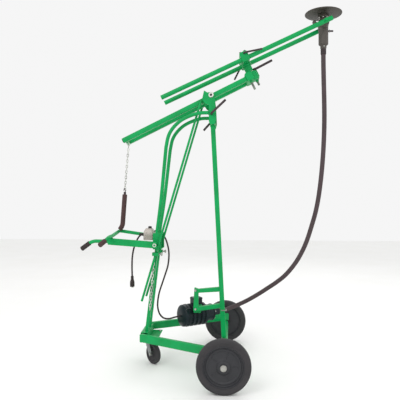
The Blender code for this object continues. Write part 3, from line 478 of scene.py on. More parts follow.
# ---- Small fittings ----
def hex_head(name, centre, axis, across_flats, height, finish, body, hidden=()):
    """A six-sided head: a hexagon's rings, the last drawn in as a chamfer, and a flat crown."""
    r = across_flats / np.sqrt(3.0)
    profile = [(r, 0.0), (r, height * 0.8), (r * 0.86, height)]
    return turned(name, profile, centre, axis, finish, body, hidden, sides=6)


def washer(name, centre, axis, outer, bore, thick, finish, body):
    """A flat ring: its rectangular section turned about the axis and closed on itself."""
    e = thick * 0.25
    profile = [(bore, 0.0), (outer - e, 0.0), (outer, e), (outer, thick - e),
               (outer - e, thick), (bore, thick)]
    return turned(name, profile, centre, axis, finish, body, sides=36, closed=True)


def weld(name, centre, axis, radius, body, bead=0.0024):
    """A weld bead: a small ring whose thickness ripples 26 times round the joint."""
    turn = np.linspace(0.0, 2.0 * np.pi, 9)[:-1]
    profile = np.stack([radius + bead * np.cos(turn), bead * np.sin(turn)], axis=1)
    return turned(name, profile, centre, axis, GREEN, body, sides=78,
                  ripple=lambda a: 1.0 + 0.03 * np.cos(26.0 * a), closed=True)


def seam(name, start, end, body, bead=0.0022):
    """A straight fillet weld: a round section whose size ripples every 4 mm."""
    length = np.linalg.norm(np.subtract(end, start))
    steps = max(8, int(length / 0.001))
    share = np.linspace(0.0, 1.0, steps)[:, None]
    path = (1 - share) * np.asarray(start) + share * np.asarray(end)
    scale = 1.0 + 0.14 * np.cos(share[:, 0] * length / 0.004 * 2.0 * np.pi)
    scale[[0, -1]] = 0.3
    across = Y if abs(unit(np.subtract(end, start))[1]) < 0.8 else Z
    return shell(name, carried(path, circle(bead, 8), across, scale), GREEN, body)


def end_cap(name, centre, outward, section, across, body):
    """A pressed-in plastic plug that closes a tube's end: a low dome over its section."""
    path = centre + outward * np.array([[-0.006], [0.0006], [0.0022], [0.0030]])
    scale = [0.84, 0.84, 0.72, 0.3]
    return shell(name, carried(path, section, across, scale), KNOB, body)


# ---- Base ----
RAIL_SECTION = rounded_rectangle(0.025, 0.040, 0.004)


def make_base():
    """The splayed base tubes, front bar, caster plate and axle, with their welds and bolts."""
    level = (low("base_rail_near")[2] + high("base_rail_near")[2]) / 2.0
    for name, side in SIDES:
        node = "base_rail_" + name
        front = np.array([-0.365, side * 0.120, level])
        rear = np.array([0.085, side * 0.368, level])
        bar("splayed_base_tube_" + name, [front, rear], RAIL_SECTION, GREEN, "base",
            (node,), wall=0.002)
        ahead = unit(rear - front)
        end_cap("base_tube_plug_" + name, rear, ahead, RAIL_SECTION, Y, "base")
        foot = np.array([0.070, side * 0.3585, level - 0.0205])
        seam(f"axle_weld_{name}_front", foot + X * -0.0195 - Y * 0.009,
             foot + X * -0.0195 + Y * 0.009, "base")
    eased("base_front_bar", GREEN, 0.0009)
    eased("caster_plate", GREEN, 0.0015)
    lo, hi = low("base_front_bar"), high("base_front_bar")
    for name, side in SIDES:
        corner = np.array([hi[0], side * hi[1], hi[2]])
        seam("front_bar_weld_" + name, [lo[0] + 0.002, corner[1], corner[2] + 0.0002],
             [hi[0], corner[1], corner[2] + 0.0002], "base")
    make_axle()
    top = high("caster_plate")[2]
    stem = pivot("caster_turn") * np.array([1.0, 1.0, 0.0])
    hex_head("caster_stem_nut", stem + Z * (low("caster_plate")[2] - 0.0008) + X * 0.032,
             -Z, 0.014, 0.006, ZINC, "base")
    for k, (dx, dy) in enumerate(((0.045, 0.09), (0.045, -0.09))):
        hex_head(f"plate_bolt_{k}", stem + X * dx + Y * dy + Z * (top + 0.0005), Z, 0.013,
                 0.006, ZINC, "base")


def make_axle():
    """The axle tube and the thin spindle ends that carry the wheels."""
    centre = middle("axle")
    half = high("axle")[1]
    tube = half - 0.080
    profile = [(0.0, -half), (0.0085, -half), (0.0095, -half + 0.001), (0.0095, -tube),
               (0.0165, -tube), (0.0177, -tube + 0.0012), (0.0177, tube - 0.0012),
               (0.0165, tube), (0.0095, tube), (0.0095, half - 0.001), (0.0085, half),
               (0.0, half)]
    turned("axle_tube", profile, centre, Y, GREEN, "base", ("axle",), 40)


def make_wheel(name, side):
    """A solid tyre with a rounded tread on a dished wheel with a raised ring and ribs."""
    body = name + "_wheel"
    centre = pivot(body + "_roll")
    out = Y * side
    radius = (high("tyre_" + name) - low("tyre_" + name))[2] / 2.0
    half = (high("tyre_" + name) - low("tyre_" + name))[1] / 2.0
    inner = radius - 0.030
    t = np.linspace(-1.0, 1.0, 17)
    crown = np.stack([radius - 0.011 * np.abs(t) ** 2.6, half * np.sin(t * np.pi / 2.0)], axis=1)
    tread = [(inner, -half * 0.8), (inner + 0.012, -half * 0.93), (inner + 0.015, -half * 0.99)]
    wall = [(inner + 0.015, half * 0.99), (inner + 0.012, half * 0.93), (inner, half * 0.8)]
    profile = np.concatenate([tread, crown, wall])
    turned("solid_tyre_" + name, profile, centre, out, TYRE, body,
           ("tyre_" + name,), 96, closed=True)
    rim = inner - 0.0003
    bore = 0.0102
    dish = [(bore, -half * 0.9), (0.022, -half * 0.9), (0.025, -half * 0.7), (0.030, -0.004),
            (rim - 0.010, -0.003), (rim - 0.004, -half * 0.62), (rim, -half * 0.74),
            (rim, half * 0.78), (rim - 0.002, half * 0.86), (rim - 0.005, half * 0.82),
            (rim - 0.009, half * 0.40), (rim - 0.013, half * 0.32), (rim - 0.016, half * 0.40),
            (rim - 0.019, half * 0.46), (rim - 0.023, half * 0.42), (rim - 0.027, half * 0.28),
            (0.040, half * 0.30), (0.033, half * 0.52), (0.029, half * 0.80),
            (0.026, half * 0.90), (bore, half * 0.90)]
    turned("dished_wheel_" + name, dish, centre, out, WHEEL, body,
           ("wheel_" + name,), 96, closed=True)
    lift = high("axle")[1] + 0.0006 - abs(centre[1]) - half * 0.9
    cap = [(0.0, 0.0008), (0.0150, 0.0008), (0.0152, lift), (0.0138, lift + 0.0015),
           (0.0090, lift + 0.0022), (0.0, lift + 0.0024)]
    turned("pressed_hub_cap_" + name, cap, centre + out * half * 0.9, out, ZINC, body,
           sides=48)
    for k, turn in enumerate(np.arange(5) * 2.0 * np.pi / 5.0):
        foot = centre + out * (half * 0.30)
        spoke = X * np.cos(turn) + Z * np.sin(turn)
        path = [foot + spoke * 0.036, foot + spoke * (rim - 0.029)]
        bar(f"wheel_rib_{name}_{k}", path, rounded_rectangle(0.005, 0.0022, 0.0008, 3), WHEEL,
            body, across=unit(np.cross(out, spoke)))


def make_caster():
    """The caster: its tyre and nave, its pressed fork, its ball race and nuts."""
    hub = pivot("caster_roll")
    across = unit(JOINTS["caster_roll"]["axis"])
    radius = hub[2]
    half = 0.013
    profile = [(0.0054, -half), (0.015, -half), (0.019, -half * 0.55), (0.036, -half * 0.5),
               (0.040, -half * 0.9), (0.048, -half), (radius - 0.002, -half * 0.75),
               (radius, -half * 0.3), (radius, half * 0.3), (radius - 0.002, half * 0.75),
               (0.048, half), (0.040, half * 0.9), (0.036, half * 0.5), (0.019, half * 0.55),
               (0.015, half), (0.0054, half)]
    turned("caster_tyre", profile, hub, across, TYRE, "caster_roller",
           ("caster_wheel",), 64, closed=True)
    eased("caster_fork", CASTER_CAST, 0.0009)
    crown = high("caster_fork")[2]
    stem = pivot("caster_turn") * np.array([1.0, 1.0, 0.0])
    race = [(0.020, 0.0), (0.0275, -0.0015), (0.0282, -0.004), (0.0275, -0.0065), (0.020, -0.0075)]
    turned("caster_ball_race", race, stem + Z * (crown - 0.004), Z, ZINC, "caster_swivel",
           sides=48, closed=True)
    for name, side in SIDES:
        face = hub + across * side * (half + 0.0058)
        hex_head("caster_nut_" + name, face, across * side, 0.013, 0.0055, ZINC,
                 "caster_swivel", ("caster_bolt",))


# ---- Mast, arch tubes, leg and bracket ----
def make_mast():
    """The mast members, its head, the arch tubes, the lever's spacers and the rod's guides."""
    for name, side in SIDES:
        eased("mast_" + name, GREEN, 0.0016)
        foot = low("mast_" + name)
        y0, y1 = foot[1], high("mast_" + name)[1]
        seam("mast_foot_weld_" + name, [foot[0] + 0.0175, y0 + 0.002, foot[2] + 0.0008],
             [foot[0] + 0.0175, y1 - 0.002, foot[2] + 0.0008], "base")
    eased("mast_head", GREEN, 0.0015)
    arches()
    lever_axis = pivot("lever_lift")
    for name, side in SIDES:
        collar = [(0.0060, 0.0), (0.0085, 0.0), (0.0085, 0.0262), (0.0060, 0.0262)]
        start = lever_axis + Y * side * 0.0610
        turned("lever_spacer_" + name, collar, start, Y * side, ZINC, "base",
               sides=28, closed=True)
    thumb_screws()
    mast_chain()


def mast_chain():
    """A spare length of the same chain, hooked on the near mast member and lying down it."""
    lo, hi = low("mast_near"), high("mast_near")
    heel = np.array([lo[0] + 0.0190, lo[1] - 0.0062, lo[2]])
    crown = np.array([hi[0] - 0.0170, lo[1] - 0.0062, hi[2]])
    top = heel + (crown - heel) * 0.84
    foot = heel + (crown - heel) * 0.26
    link_chain("mast_chain", top, foot, "base")
    t = np.linspace(np.radians(-60.0), np.radians(200.0), 24)[:, None]
    hook = top + Z * 0.005 + 0.0065 * (Z * np.sin(t) + Y * np.cos(t))
    bar("mast_chain_hook", hook, circle(0.0021, 12), ZINC, "base")


def arch_points(side):
    """One arch tube's centreline, from the mast head up and over to the bracket."""
    foot = np.array([-0.291, side * 0.048, high("mast_head")[2] + 0.0003])
    rise = [foot, foot + Z * 0.014, (-0.268, side * 0.066, 0.886), (-0.238, side * 0.087, 1.166)]
    crown = flowing([(-0.238, side * 0.087, 1.166), (-0.225, side * 0.087, 1.225),
                     (-0.200, side * 0.087, 1.268), (-0.160, side * 0.087, 1.305),
                     (-0.110, side * 0.087, 1.330), (-0.060, side * 0.087, 1.3435),
                     (-0.0130, side * 0.087, 1.345)], 36)
    return np.concatenate([flowing(rise, 40)[:-1], crown])


def arches():
    """Two bent tubes from the mast head to the bracket, each welded at both ends."""
    for name, side in SIDES:
        path = arch_points(side)
        bar("arch_tube_" + name, path, circle(0.0095), GREEN, "base",
            ("arch_" + name,), wall=0.002)
        weld("arch_foot_weld_" + name, path[0] + Z * 0.001, Z, 0.0098, "base")
        weld("arch_head_weld_" + name, path[-1] - X * 0.0012, X, 0.0098, "base", 0.0018)


def thumb_screws():
    """The guide blocks and the winged screws that clamp the stay rod in them."""
    for name, _ in SIDES:
        eased("rod_guide_" + name, GREEN, 0.0016)
        lo, hi = low("rod_guide_" + name), high("rod_guide_" + name)
        place = np.array([hi[0], (lo[1] + hi[1]) / 2.0, (lo[2] + hi[2]) / 2.0])
        neck = [(0.0, 0.0), (0.004, 0.0), (0.004, 0.010), (0.007, 0.012), (0.007, 0.018),
                (0.005, 0.020), (0.0, 0.020)]
        turned("clamp_screw_" + name, neck, place, X, ZINC, "base", sides=24)
        wing = [place + X * 0.017 - Z * 0.009, place + X * 0.0150 - Z * 0.004,
                place + X * 0.015, place + X * 0.0150 + Z * 0.004, place + X * 0.017 + Z * 0.009]
        bar("clamp_wing_" + name, wing, rounded_rectangle(0.0024, 0.006, 0.0009, 3), ZINC,
            "base")


TIE_RADIUS = 0.0125


def make_top():
    """The bracket plates, their tie tube, and the rear leg with its splice."""
    for name, _ in SIDES:
        eased("bracket_" + name, GREEN, 0.0010)
    half = high("bracket_tie")[1]
    centre = middle("bracket_tie")
    tie = [(0.0, -half), (0.0115, -half), (TIE_RADIUS, -half + 0.001),
           (TIE_RADIUS, half - 0.001), (0.0115, half), (0.0, half)]
    turned("bracket_tie_tube", tie, centre, Y, GREEN, "base", ("bracket_tie",))
    eased("leg_socket", GREEN, 0.0010)
    eased("rear_leg", GREEN, 0.0010)
    splice = high("leg_socket")
    mid = middle("leg_socket")
    top = np.array([splice[0] - 0.0125, mid[1], splice[2]])
    band = rounded_rectangle(0.0295, 0.0295, 0.0035)
    path = top + Z * np.array([[-0.003], [0.0025]])
    inner = rounded_rectangle(0.0256, 0.0256, 0.0015)
    rings = np.concatenate([carried(path, band, Y), carried(path, inner, Y)[::-1]])
    shell("leg_splice_band", rings, ZINC, "base", closed=True)
    weld("leg_top_weld", centre - Z * (TIE_RADIUS + 0.0085), Z, 0.0135, "base", 0.0020)
    pivot_bolt()


def pivot_bolt():
    """The boom's pivot: a plain shank, and at each side a pale collar and a dark hex head."""
    face = high("bracket_far")[1] + 0.0004
    shank = [(0.0, -face - 0.001), (0.008, -face - 0.001), (0.008, face + 0.001),
             (0.0, face + 0.001)]
    turned("boom_pivot_shank", shank, BOOM, Y, ZINC, "base", ("boom_pivot_bolt",), 36)
    for name, side in SIDES:
        out = Y * side
        washer("boom_pivot_collar_" + name, BOOM + out * face, out, 0.0138, 0.0066, 0.0068,
               WHITE, "base")
        head = BOOM + out * (face + 0.0010)
        hex_head("boom_pivot_head_" + name, head, out, 0.0105, 0.0075, BLACK, "base")


def turn_to(degrees):
    """A direction in the upright plane of the boom: its angle is measured up from +X."""
    return X * np.cos(np.radians(degrees)) + Z * np.sin(np.radians(degrees))


def crank(name, joint, node, radius, body):
    """A rod bent twice: an arm at each end, square to the shaft, in opposite directions."""
    hub = pivot(joint)
    y = high(node)[1] - radius
    if node == "bracket_crank":
        near_turn, far_turn, near_arm, far_arm = 43.0, 228.0, 0.102, 0.078
    else:
        near_turn, far_turn, near_arm, far_arm = 10.6, 243.4, 0.098, 0.105
    points = [hub + turn_to(near_turn) * near_arm - Y * y, hub - Y * y, hub + Y * y,
              hub + turn_to(far_turn) * far_arm + Y * y]
    bar(name, bent(points, 0.012), circle(radius, 20), BLACK, body, (node,),
        across=unit(X * 0.55 + Z * 0.2 + Y * 0.8), ease=0.0016)


# ---- Lower boom ----
LOWER_SECTION = rounded_rectangle(0.025, 0.025, 0.0030)


def make_lower_boom():
    """The lower boom's two tubes, its tail bar, and the casting with its two studs."""
    for name, _ in SIDES:
        node = "lower_rail_" + name
        start, end = rail_ends(node, BOOM_ALONG, 0.0125)
        bar("lower_boom_tube_" + name, [start, end], LOWER_SECTION, GREEN, "lower_boom",
            (node,), wall=0.002)
        end_cap("lower_boom_plug_" + name, start, -BOOM_ALONG, LOWER_SECTION, Y, "lower_boom")
        top = end + BOOM_UP * 0.0130 - BOOM_ALONG * 0.0004
        seam("lower_block_weld_" + name, top - Y * 0.011, top + Y * 0.011, "lower_boom")
    bar("tail_bar_rod", [middle("tail_bar") - Y * high("tail_bar")[1],
                         middle("tail_bar") + Y * high("tail_bar")[1]], circle(0.0085), GREEN,
        "lower_boom", ("tail_bar",), across=X)
    lower_block_casting()
    for k, (along, across, reach) in enumerate(((0.227, -0.030, 0.070), (0.266, 0.028, 0.049))):
        top = on_boom(along, across, 0.0238)
        bar(f"clamp_stud_{k}", [top, top - BOOM_UP * (0.020 + reach)], circle(0.0060, 24),
            STUD, "lower_boom", across=Y)
        hex_head(f"clamp_stud_nut_{k}", on_boom(along, across, -0.0182), -BOOM_UP, 0.0165,
                 0.0075, GREEN, "lower_boom")
    swivel_lever()


def upright(name, along, across, radius, floor, top, body, hidden, ease=0.004):
    """A round boss square to the lower boom: a short cylinder with quarter-round edges."""
    t = np.linspace(0.0, np.pi / 2.0, 5)
    below = np.stack([radius - ease + ease * np.sin(t), floor + ease - ease * np.cos(t)], axis=1)
    above = np.stack([radius - ease + ease * np.cos(t), top - ease + ease * np.sin(t)], axis=1)
    profile = np.concatenate([[(0.0, floor)], below, above, [(0.0, top)]])
    turned(name, profile, on_boom(along, across, 0.0), BOOM_UP, GREEN, body,
           hidden, 48)


def lower_block_casting():
    """The casting that ends the lower boom: a cross sleeve, the swivel's hub, and bosses."""
    hidden = ("lower_block",)
    ends = [on_boom(0.2260, -0.0622, 0.0060), on_boom(0.2260, 0.0622, 0.0060)]
    bar("lower_block_sleeve", ends, rounded_rectangle(0.0415, 0.0460, 0.0110), GREEN,
        "lower_boom", hidden, across=BOOM_ALONG, ease=0.003)
    upright("lower_block_hub", 0.2470, 0.0, 0.0330, -0.0180, 0.0300, "lower_boom", hidden)
    upright("lower_block_lever_boss", 0.2740, 0.0, 0.0112, -0.0080, 0.0299, "lower_boom", hidden,
            0.002)
    upright("lower_block_stud_boss", 0.2660, 0.0280, 0.0140, -0.0175, 0.0220, "lower_boom",
            hidden)


def swivel_lever():
    """The swivel's clamp lever: a capped hub and a straight handle."""
    hub = pivot("block_lever_turn") + BOOM_UP * 0.0006
    cap = [(0.0, 0.0), (0.0085, 0.0), (0.009, 0.0006), (0.009, 0.012), (0.0075, 0.0138),
           (0.0, 0.0142)]
    turned("swivel_lever_hub", cap, hub, BOOM_UP, BLACK, "block_lever",
           ("swivel_lever",), 32)
    start = hub + BOOM_UP * 0.0072
    end = on_boom(0.376, -0.030, 0.033)
    bar("swivel_lever_handle", [start, end], circle(0.0064, 24), BLACK, "block_lever",
        ("swivel_lever",), ease=0.002)


def make_stay():
    """One rod bent as a bail, round at its corners, hung on the boom between the rails."""
    pin = pivot("stay_hang")
    foot = np.array([low("stay_rod")[0] + 0.0057, 0.0, low("stay_rod")[2] + 0.0017])
    points = [foot - Y * 0.0697, pin - Y * 0.0697, pin + Y * 0.0697, foot + Y * 0.0697]
    bar("stay_bail_rod", bent(points, 0.010), circle(0.006, 20), GREEN, "stay",
        ("stay_rod",), across=unit(X * 0.9 + Y * 0.45 - Z * 0.2), ease=0.0015)


# ---- Swivel block and upper boom ----
def make_swivel():
    """The casting that clamps the upper boom's tubes and turns on the lower one."""
    hidden = ("upper_block",)
    ends = [on_boom(0.2470, -0.0878, 0.1050), on_boom(0.2470, 0.0878, 0.1050)]
    bar("upper_block_clamp", ends, rounded_rectangle(0.0436, 0.0530, 0.0090), GREEN, "swivel",
        hidden, across=BOOM_ALONG, ease=0.003)
    upright("upper_block_neck", 0.2470, 0.0, 0.0215, 0.0330, 0.0900, "swivel", hidden, 0.002)
    upright("upper_block_flange", 0.2470, 0.0, 0.0280, 0.0700, 0.0800, "swivel", hidden, 0.002)
    washer("swivel_washer", on_boom(0.247, 0.0, 0.0303), BOOM_UP, 0.0265, 0.0150, 0.0026,
           ZINC, "swivel")
    for k, along in enumerate((0.2355, 0.2600)):
        for name, side in SIDES:
            top = on_boom(along, side * 0.070, 0.1325)
            hex_head(f"rail_clamp_head_{name}_{k}", top, BOOM_UP, 0.010, 0.005, BLACK,
                     "swivel")


def make_upper_boom():
    """The upper boom's two open tubes and the bolt that the head tilts on."""
    for name, side in SIDES:
        node = "upper_rail_" + name
        start, end = rail_ends(node, UPPER_ALONG, 0.0116)
        bar("upper_boom_tube_" + name, [start, end], circle(0.012, 36), GREEN, "upper_boom",
            (node,), wall=0.002)
        out = Y * side
        face = HEAD + out * 0.0826
        washer("head_bolt_washer_" + name, face, out, 0.0115, 0.0062, 0.0018, GREEN,
               "upper_boom")
        hex_head("head_bolt_head_" + name, face + out * 0.0019, out, 0.0125, 0.0055, GREEN,
                 "upper_boom", ("head_bolt",))
    shank = [(0.0, -0.0838), (0.006, -0.0838), (0.006, 0.0838), (0.0, 0.0838)]
    turned("head_bolt_shank", shank, HEAD, Y, ZINC, "upper_boom", ("head_bolt",), 28)


# ---- Head ----
def make_head():
    """The cast head: a barrel, a cross trunnion, a curved ear, ribs and its small screws."""
    axis = np.array([HEAD[0], 0.0, 0.0])
    foot, top = low("head_casting")[2], high("head_casting")[2]
    t = np.linspace(0.0, 1.0, 9)
    swell = np.stack([0.0165 + 0.009 * (3 * t**2 - 2 * t**3), foot + 0.016 + 0.010 * t], axis=1)
    profile = np.concatenate([
        [(0.0, foot), (0.0135, foot), (0.0145, foot + 0.001), (0.0165, foot + 0.007),
         (0.0165, foot + 0.015)], swell,
        [(0.0255, top - 0.034), (0.0268, top - 0.033), (0.0268, top - 0.024),
         (0.0255, top - 0.023), (0.0255, top - 0.009), (0.0235, top - 0.004), (0.0205, top),
         (0.0, top)]])
    turned("cast_head_barrel", profile, axis, Z, HEAD_CAST, "head",
           ("head_casting",), 64)
    half = high("head_casting")[1]
    trunnion = [(0.0, -half), (0.0185, -half), (0.0205, -half + 0.0015), (0.0205, -half + 0.010),
                (0.0225, -half + 0.016), (0.0225, half - 0.016), (0.0205, half - 0.010),
                (0.0205, half - 0.0015), (0.0185, half), (0.0, half)]
    turned("cast_head_trunnion", trunnion, HEAD, Y, HEAD_CAST, "head",
           ("head_casting",), 48)
    ear = flowing([HEAD + X * -0.018 + Z * 0.000, HEAD + X * -0.034 + Z * 0.004,
                   HEAD + X * -0.046 + Z * 0.013, HEAD + X * -0.052 + Z * 0.024], 18)
    bar("cast_head_ear", ear, rounded_rectangle(0.030, 0.015, 0.005), HEAD_CAST, "head",
        ease=0.003)
    for k, turn in enumerate(np.radians([20.0, 110.0, 200.0, 290.0])):
        spoke = X * np.cos(turn) + Y * np.sin(turn)
        base = axis + spoke * 0.0235
        bar(f"cast_head_rib_{k}", [base + Z * (foot + 0.027), base + Z * (top - 0.036)],
            rounded_rectangle(0.004, 0.006, 0.0015, 3), HEAD_CAST, "head",
            across=np.cross(Z, spoke))
    near = axis + Z * (foot + 0.0115) - Y * 0.0160
    hex_head("shaft_lock_screw", near, -Y, 0.008, 0.0045, ZINC, "head")
    pin = axis + X * 0.022 + Z * (HEAD[2] - 0.031)
    bar("head_lock_pin", [pin, pin + X * 0.030], circle(0.0046, 24), BLACK, "head")
    washer("head_lock_washer", pin + X * 0.0085, X, 0.0085, 0.0046, 0.0030, ZINC, "head")
    washer("disc_hub_ring", axis + Z * (low("disc")[2] + 0.0126), Z, 0.0275, 0.0164, 0.0022,
           ZINC, "disc_rotor")
    make_disc(axis)


def make_disc(axis):
    """The disc: a hub, a shallow dished web and a rolled rim, with a bolt circle below."""
    top = high("disc")[2]
    radius = high("disc")[0] - HEAD[0]
    hub = low("disc")[2]
    t = np.linspace(0.0, 1.0, 12)
    web = np.stack([0.032 + (radius - 0.040) * t, top - 0.0125 + 0.0048 * t**1.6], axis=1)
    edge = np.linspace(-np.pi / 2.0, np.pi / 2.0, 9)
    roll = np.stack([radius - 0.0034 + 0.0034 * np.cos(edge),
                     top - 0.0036 + 0.0034 * np.sin(edge)], axis=1)
    profile = np.concatenate([
        [(0.0, hub), (0.0155, hub), (0.0165, hub + 0.001), (0.0165, hub + 0.010),
         (0.0285, hub + 0.0135), (0.030, hub + 0.015), (0.030, top - 0.0132)], web, roll,
        [(radius - 0.014, top - 0.0006), (radius - 0.016, top - 0.0012),
         (0.030, top - 0.0010), (0.028, top), (0.0, top)]])
    turned("spinning_disc", profile, axis, Z, DISC, "disc_rotor", ("disc",), 128)
    for k, turn in enumerate(np.arange(6) * np.pi / 3.0 + 0.3):
        spoke = X * np.cos(turn) + Y * np.sin(turn)
        hex_head(f"disc_bolt_{k}", axis + spoke * 0.0220 + Z * (hub + 0.0124), -Z, 0.0080,
                 0.0050, ZINC, "disc_rotor")


# ---- Hand lever ----
def make_lever():
    """The hand lever: two bars, a cross handle, a front handle, and a grip on each."""
    body = "hand_lever"
    eased("lever_bar_near", GREEN, 0.0008)
    axis = pivot("lever_lift")
    corner = np.array([-0.5315, 0.100, 0.710])
    far = [axis + X * 0.012 + Y * 0.100, axis + X * -0.014 + Y * 0.100 + Z * 0.001,
           (-0.345, 0.100, 0.684), corner + X * 0.0106 - Z * 0.0007]
    bar("lever_far_tube", bent(far, 0.022), circle(0.0095), GREEN, body,
        ("lever_bar_far",))
    rest = 0.6935
    cross = [(-0.555, -0.2225, 0.659), (-0.538, -0.183, rest - 0.015),
             (-0.530, -0.155, rest - 0.003), (-0.529, -0.120, rest), (-0.529, -0.080, rest),
             (-0.5315, 0.112, 0.710)]
    bar("lever_cross_handle", bent(cross, 0.016), circle(0.0095), GREEN, body,
        ("lever_cross_tube",), across=X)
    weld("cross_handle_weld", corner + X * 0.0098, X, 0.0098, body, 0.0018)
    near_weld = np.array([-0.529, -0.100, rest - 0.0092])
    seam("cross_handle_seam", near_weld - Y * 0.009 + X * 0.006, near_weld + Y * 0.009 + X * 0.006,
         body, 0.0018)
    end_x = low("lever_bar_near")[0]
    handle = [(end_x - 0.0003, -0.100, 0.667), (-0.618, -0.100, 0.668),
              (-0.640, -0.100, 0.661), (-0.6859, -0.100, 0.627)]
    bar("front_handle_tube", bent(handle, 0.010), circle(0.0095), GREEN, body,
        ("front_handle",))
    weld("front_handle_weld", np.array([end_x - 0.0016, -0.100, 0.667]), X, 0.0098, body, 0.0016)
    grip("rubber_cross_grip", cross[0], cross[1], SLEEVE, "cross_grip")
    grip("rubber_front_grip", handle[3], handle[2], GRIP, "front_grip")
    for name, side in SIDES:
        out = Y * side
        face = axis + out * 0.1104
        washer("lever_bolt_washer_" + name, face, out, 0.0098, 0.0052, 0.0022, WHITE, "base")
        hex_head("lever_bolt_head_" + name, face + out * 0.0008, out, 0.0095, 0.0038, GREEN,
                 "base", ("lever_bolt",))
    shank = [(0.0, -0.1112), (0.005, -0.1112), (0.005, 0.1112), (0.0, 0.1112)]
    turned("lever_bolt_shank", shank, axis, Y, ZINC, "base", ("lever_bolt",), 24)


def grip(name, tip, bend, finish, node):
    """A moulded sleeve: a domed end, then shallow rings that swell and sink every 6 mm."""
    tip, bend = np.asarray(tip), np.asarray(bend)
    run = unit(bend - tip)
    floor = 0.0055
    length = np.linalg.norm(bend - tip) + floor - 0.005
    t = np.linspace(0.0, np.pi / 2.0, 7)
    dome = np.stack([0.0128 * np.sin(t), 0.005 * (1.0 - np.cos(t))], axis=1)
    along = np.linspace(0.0065, length - 0.003, 56)
    swell = 0.0128 - 0.0007 * (0.5 - 0.5 * np.cos((along - 0.0065) / 0.006 * 2.0 * np.pi))
    body = np.stack([swell, along], axis=1)
    bore = 0.00985
    inside = [(0.0125, length - 0.001), (0.0120, length), (bore, length), (bore, floor - 0.0003),
              (0.0, floor - 0.0003)]
    profile = np.concatenate([dome, body, inside])
    turned(name, profile, tip - run * floor, run, finish, "hand_lever", (node,),
           36)


# ---- Pull link ----
def make_pull_link():
    """The chain, its hook, and the sleeved bar that hangs from it."""
    chain_top = np.array([middle("tail_bar")[0], 0.030, low("tail_bar")[2]])
    bar_top = np.array([-0.494, 0.074, 0.930])
    knee = np.array([-0.507, 0.074, 0.742])
    tube = np.array([-0.531, 0.074, 0.7066])
    foot = tube + unit(knee - tube) * 0.0150
    link_chain("pull_chain", chain_top - Z * 0.001, bar_top + Z * 0.016, "pull_link",
               ("pull_chain",))
    sleeve = bent([bar_top - Z * 0.0125, knee, foot], 0.020)
    bar("hand_bar_sleeve", sleeve, circle(0.0133, 32), SLEEVE, "pull_link",
        ("pull_bar",), ease=0.0022)
    eye = [(0.0, -0.016), (0.0062, -0.016), (0.0068, -0.012), (0.0068, 0.0), (0.004, 0.003),
           (0.0, 0.003)]
    turned("hand_bar_ferrule", eye, bar_top, Z, BLACK, "pull_link",
           ("pull_bar",), 32)
    t = np.linspace(np.radians(-75.0), np.radians(215.0), 30)[:, None]
    hook = bar_top + Z * 0.0125 + 0.0085 * (Z * np.sin(t) + unit(X * 0.4 + Y) * np.cos(t))
    bar("chain_hook", hook, circle(0.0024, 14), BLACK, "pull_link",
        across=unit(X - Y * 0.4))


CHAIN_HALF_WIDTH = 0.0046


def link_chain(name, start, end, body, hidden=()):
    """Welded links, each a round wire carried round a stadium, every second one a quarter
    turn about the chain's line."""
    pitch = 0.0150
    wire = 0.0019
    count = int(np.linalg.norm(end - start) / pitch)
    down = unit(end - start)
    pitch = np.linalg.norm(end - start) / count
    flat = unit(np.cross(down, X))
    for k in range(count):
        centre = start + down * pitch * (k + 0.5)
        lay = flat if k % 2 else np.cross(down, flat)
        turn = ring_angles(32)[:, None]
        bow = np.cos(turn)
        straight = pitch / 2.0 + wire * 0.9 - CHAIN_HALF_WIDTH
        path = centre + down * (CHAIN_HALF_WIDTH * bow + straight * np.sign(bow)) + \
            lay * CHAIN_HALF_WIDTH * np.sin(turn)
        after = np.roll(path, -1, axis=0)
        before = np.roll(path, 1, axis=0)
        ahead = unit(after - before)
        normal = np.broadcast_to(np.cross(down, lay), path.shape)
        side = unit(np.cross(ahead, normal))
        ring = circle(wire, 10)
        rings = path[:, None] + side[:, None] * ring[None, :, :1] + \
            normal[:, None] * ring[None, :, 1:]
        shell(f"{name}_link_{k:02d}", rings, BRIGHT, body, hidden, closed=True)


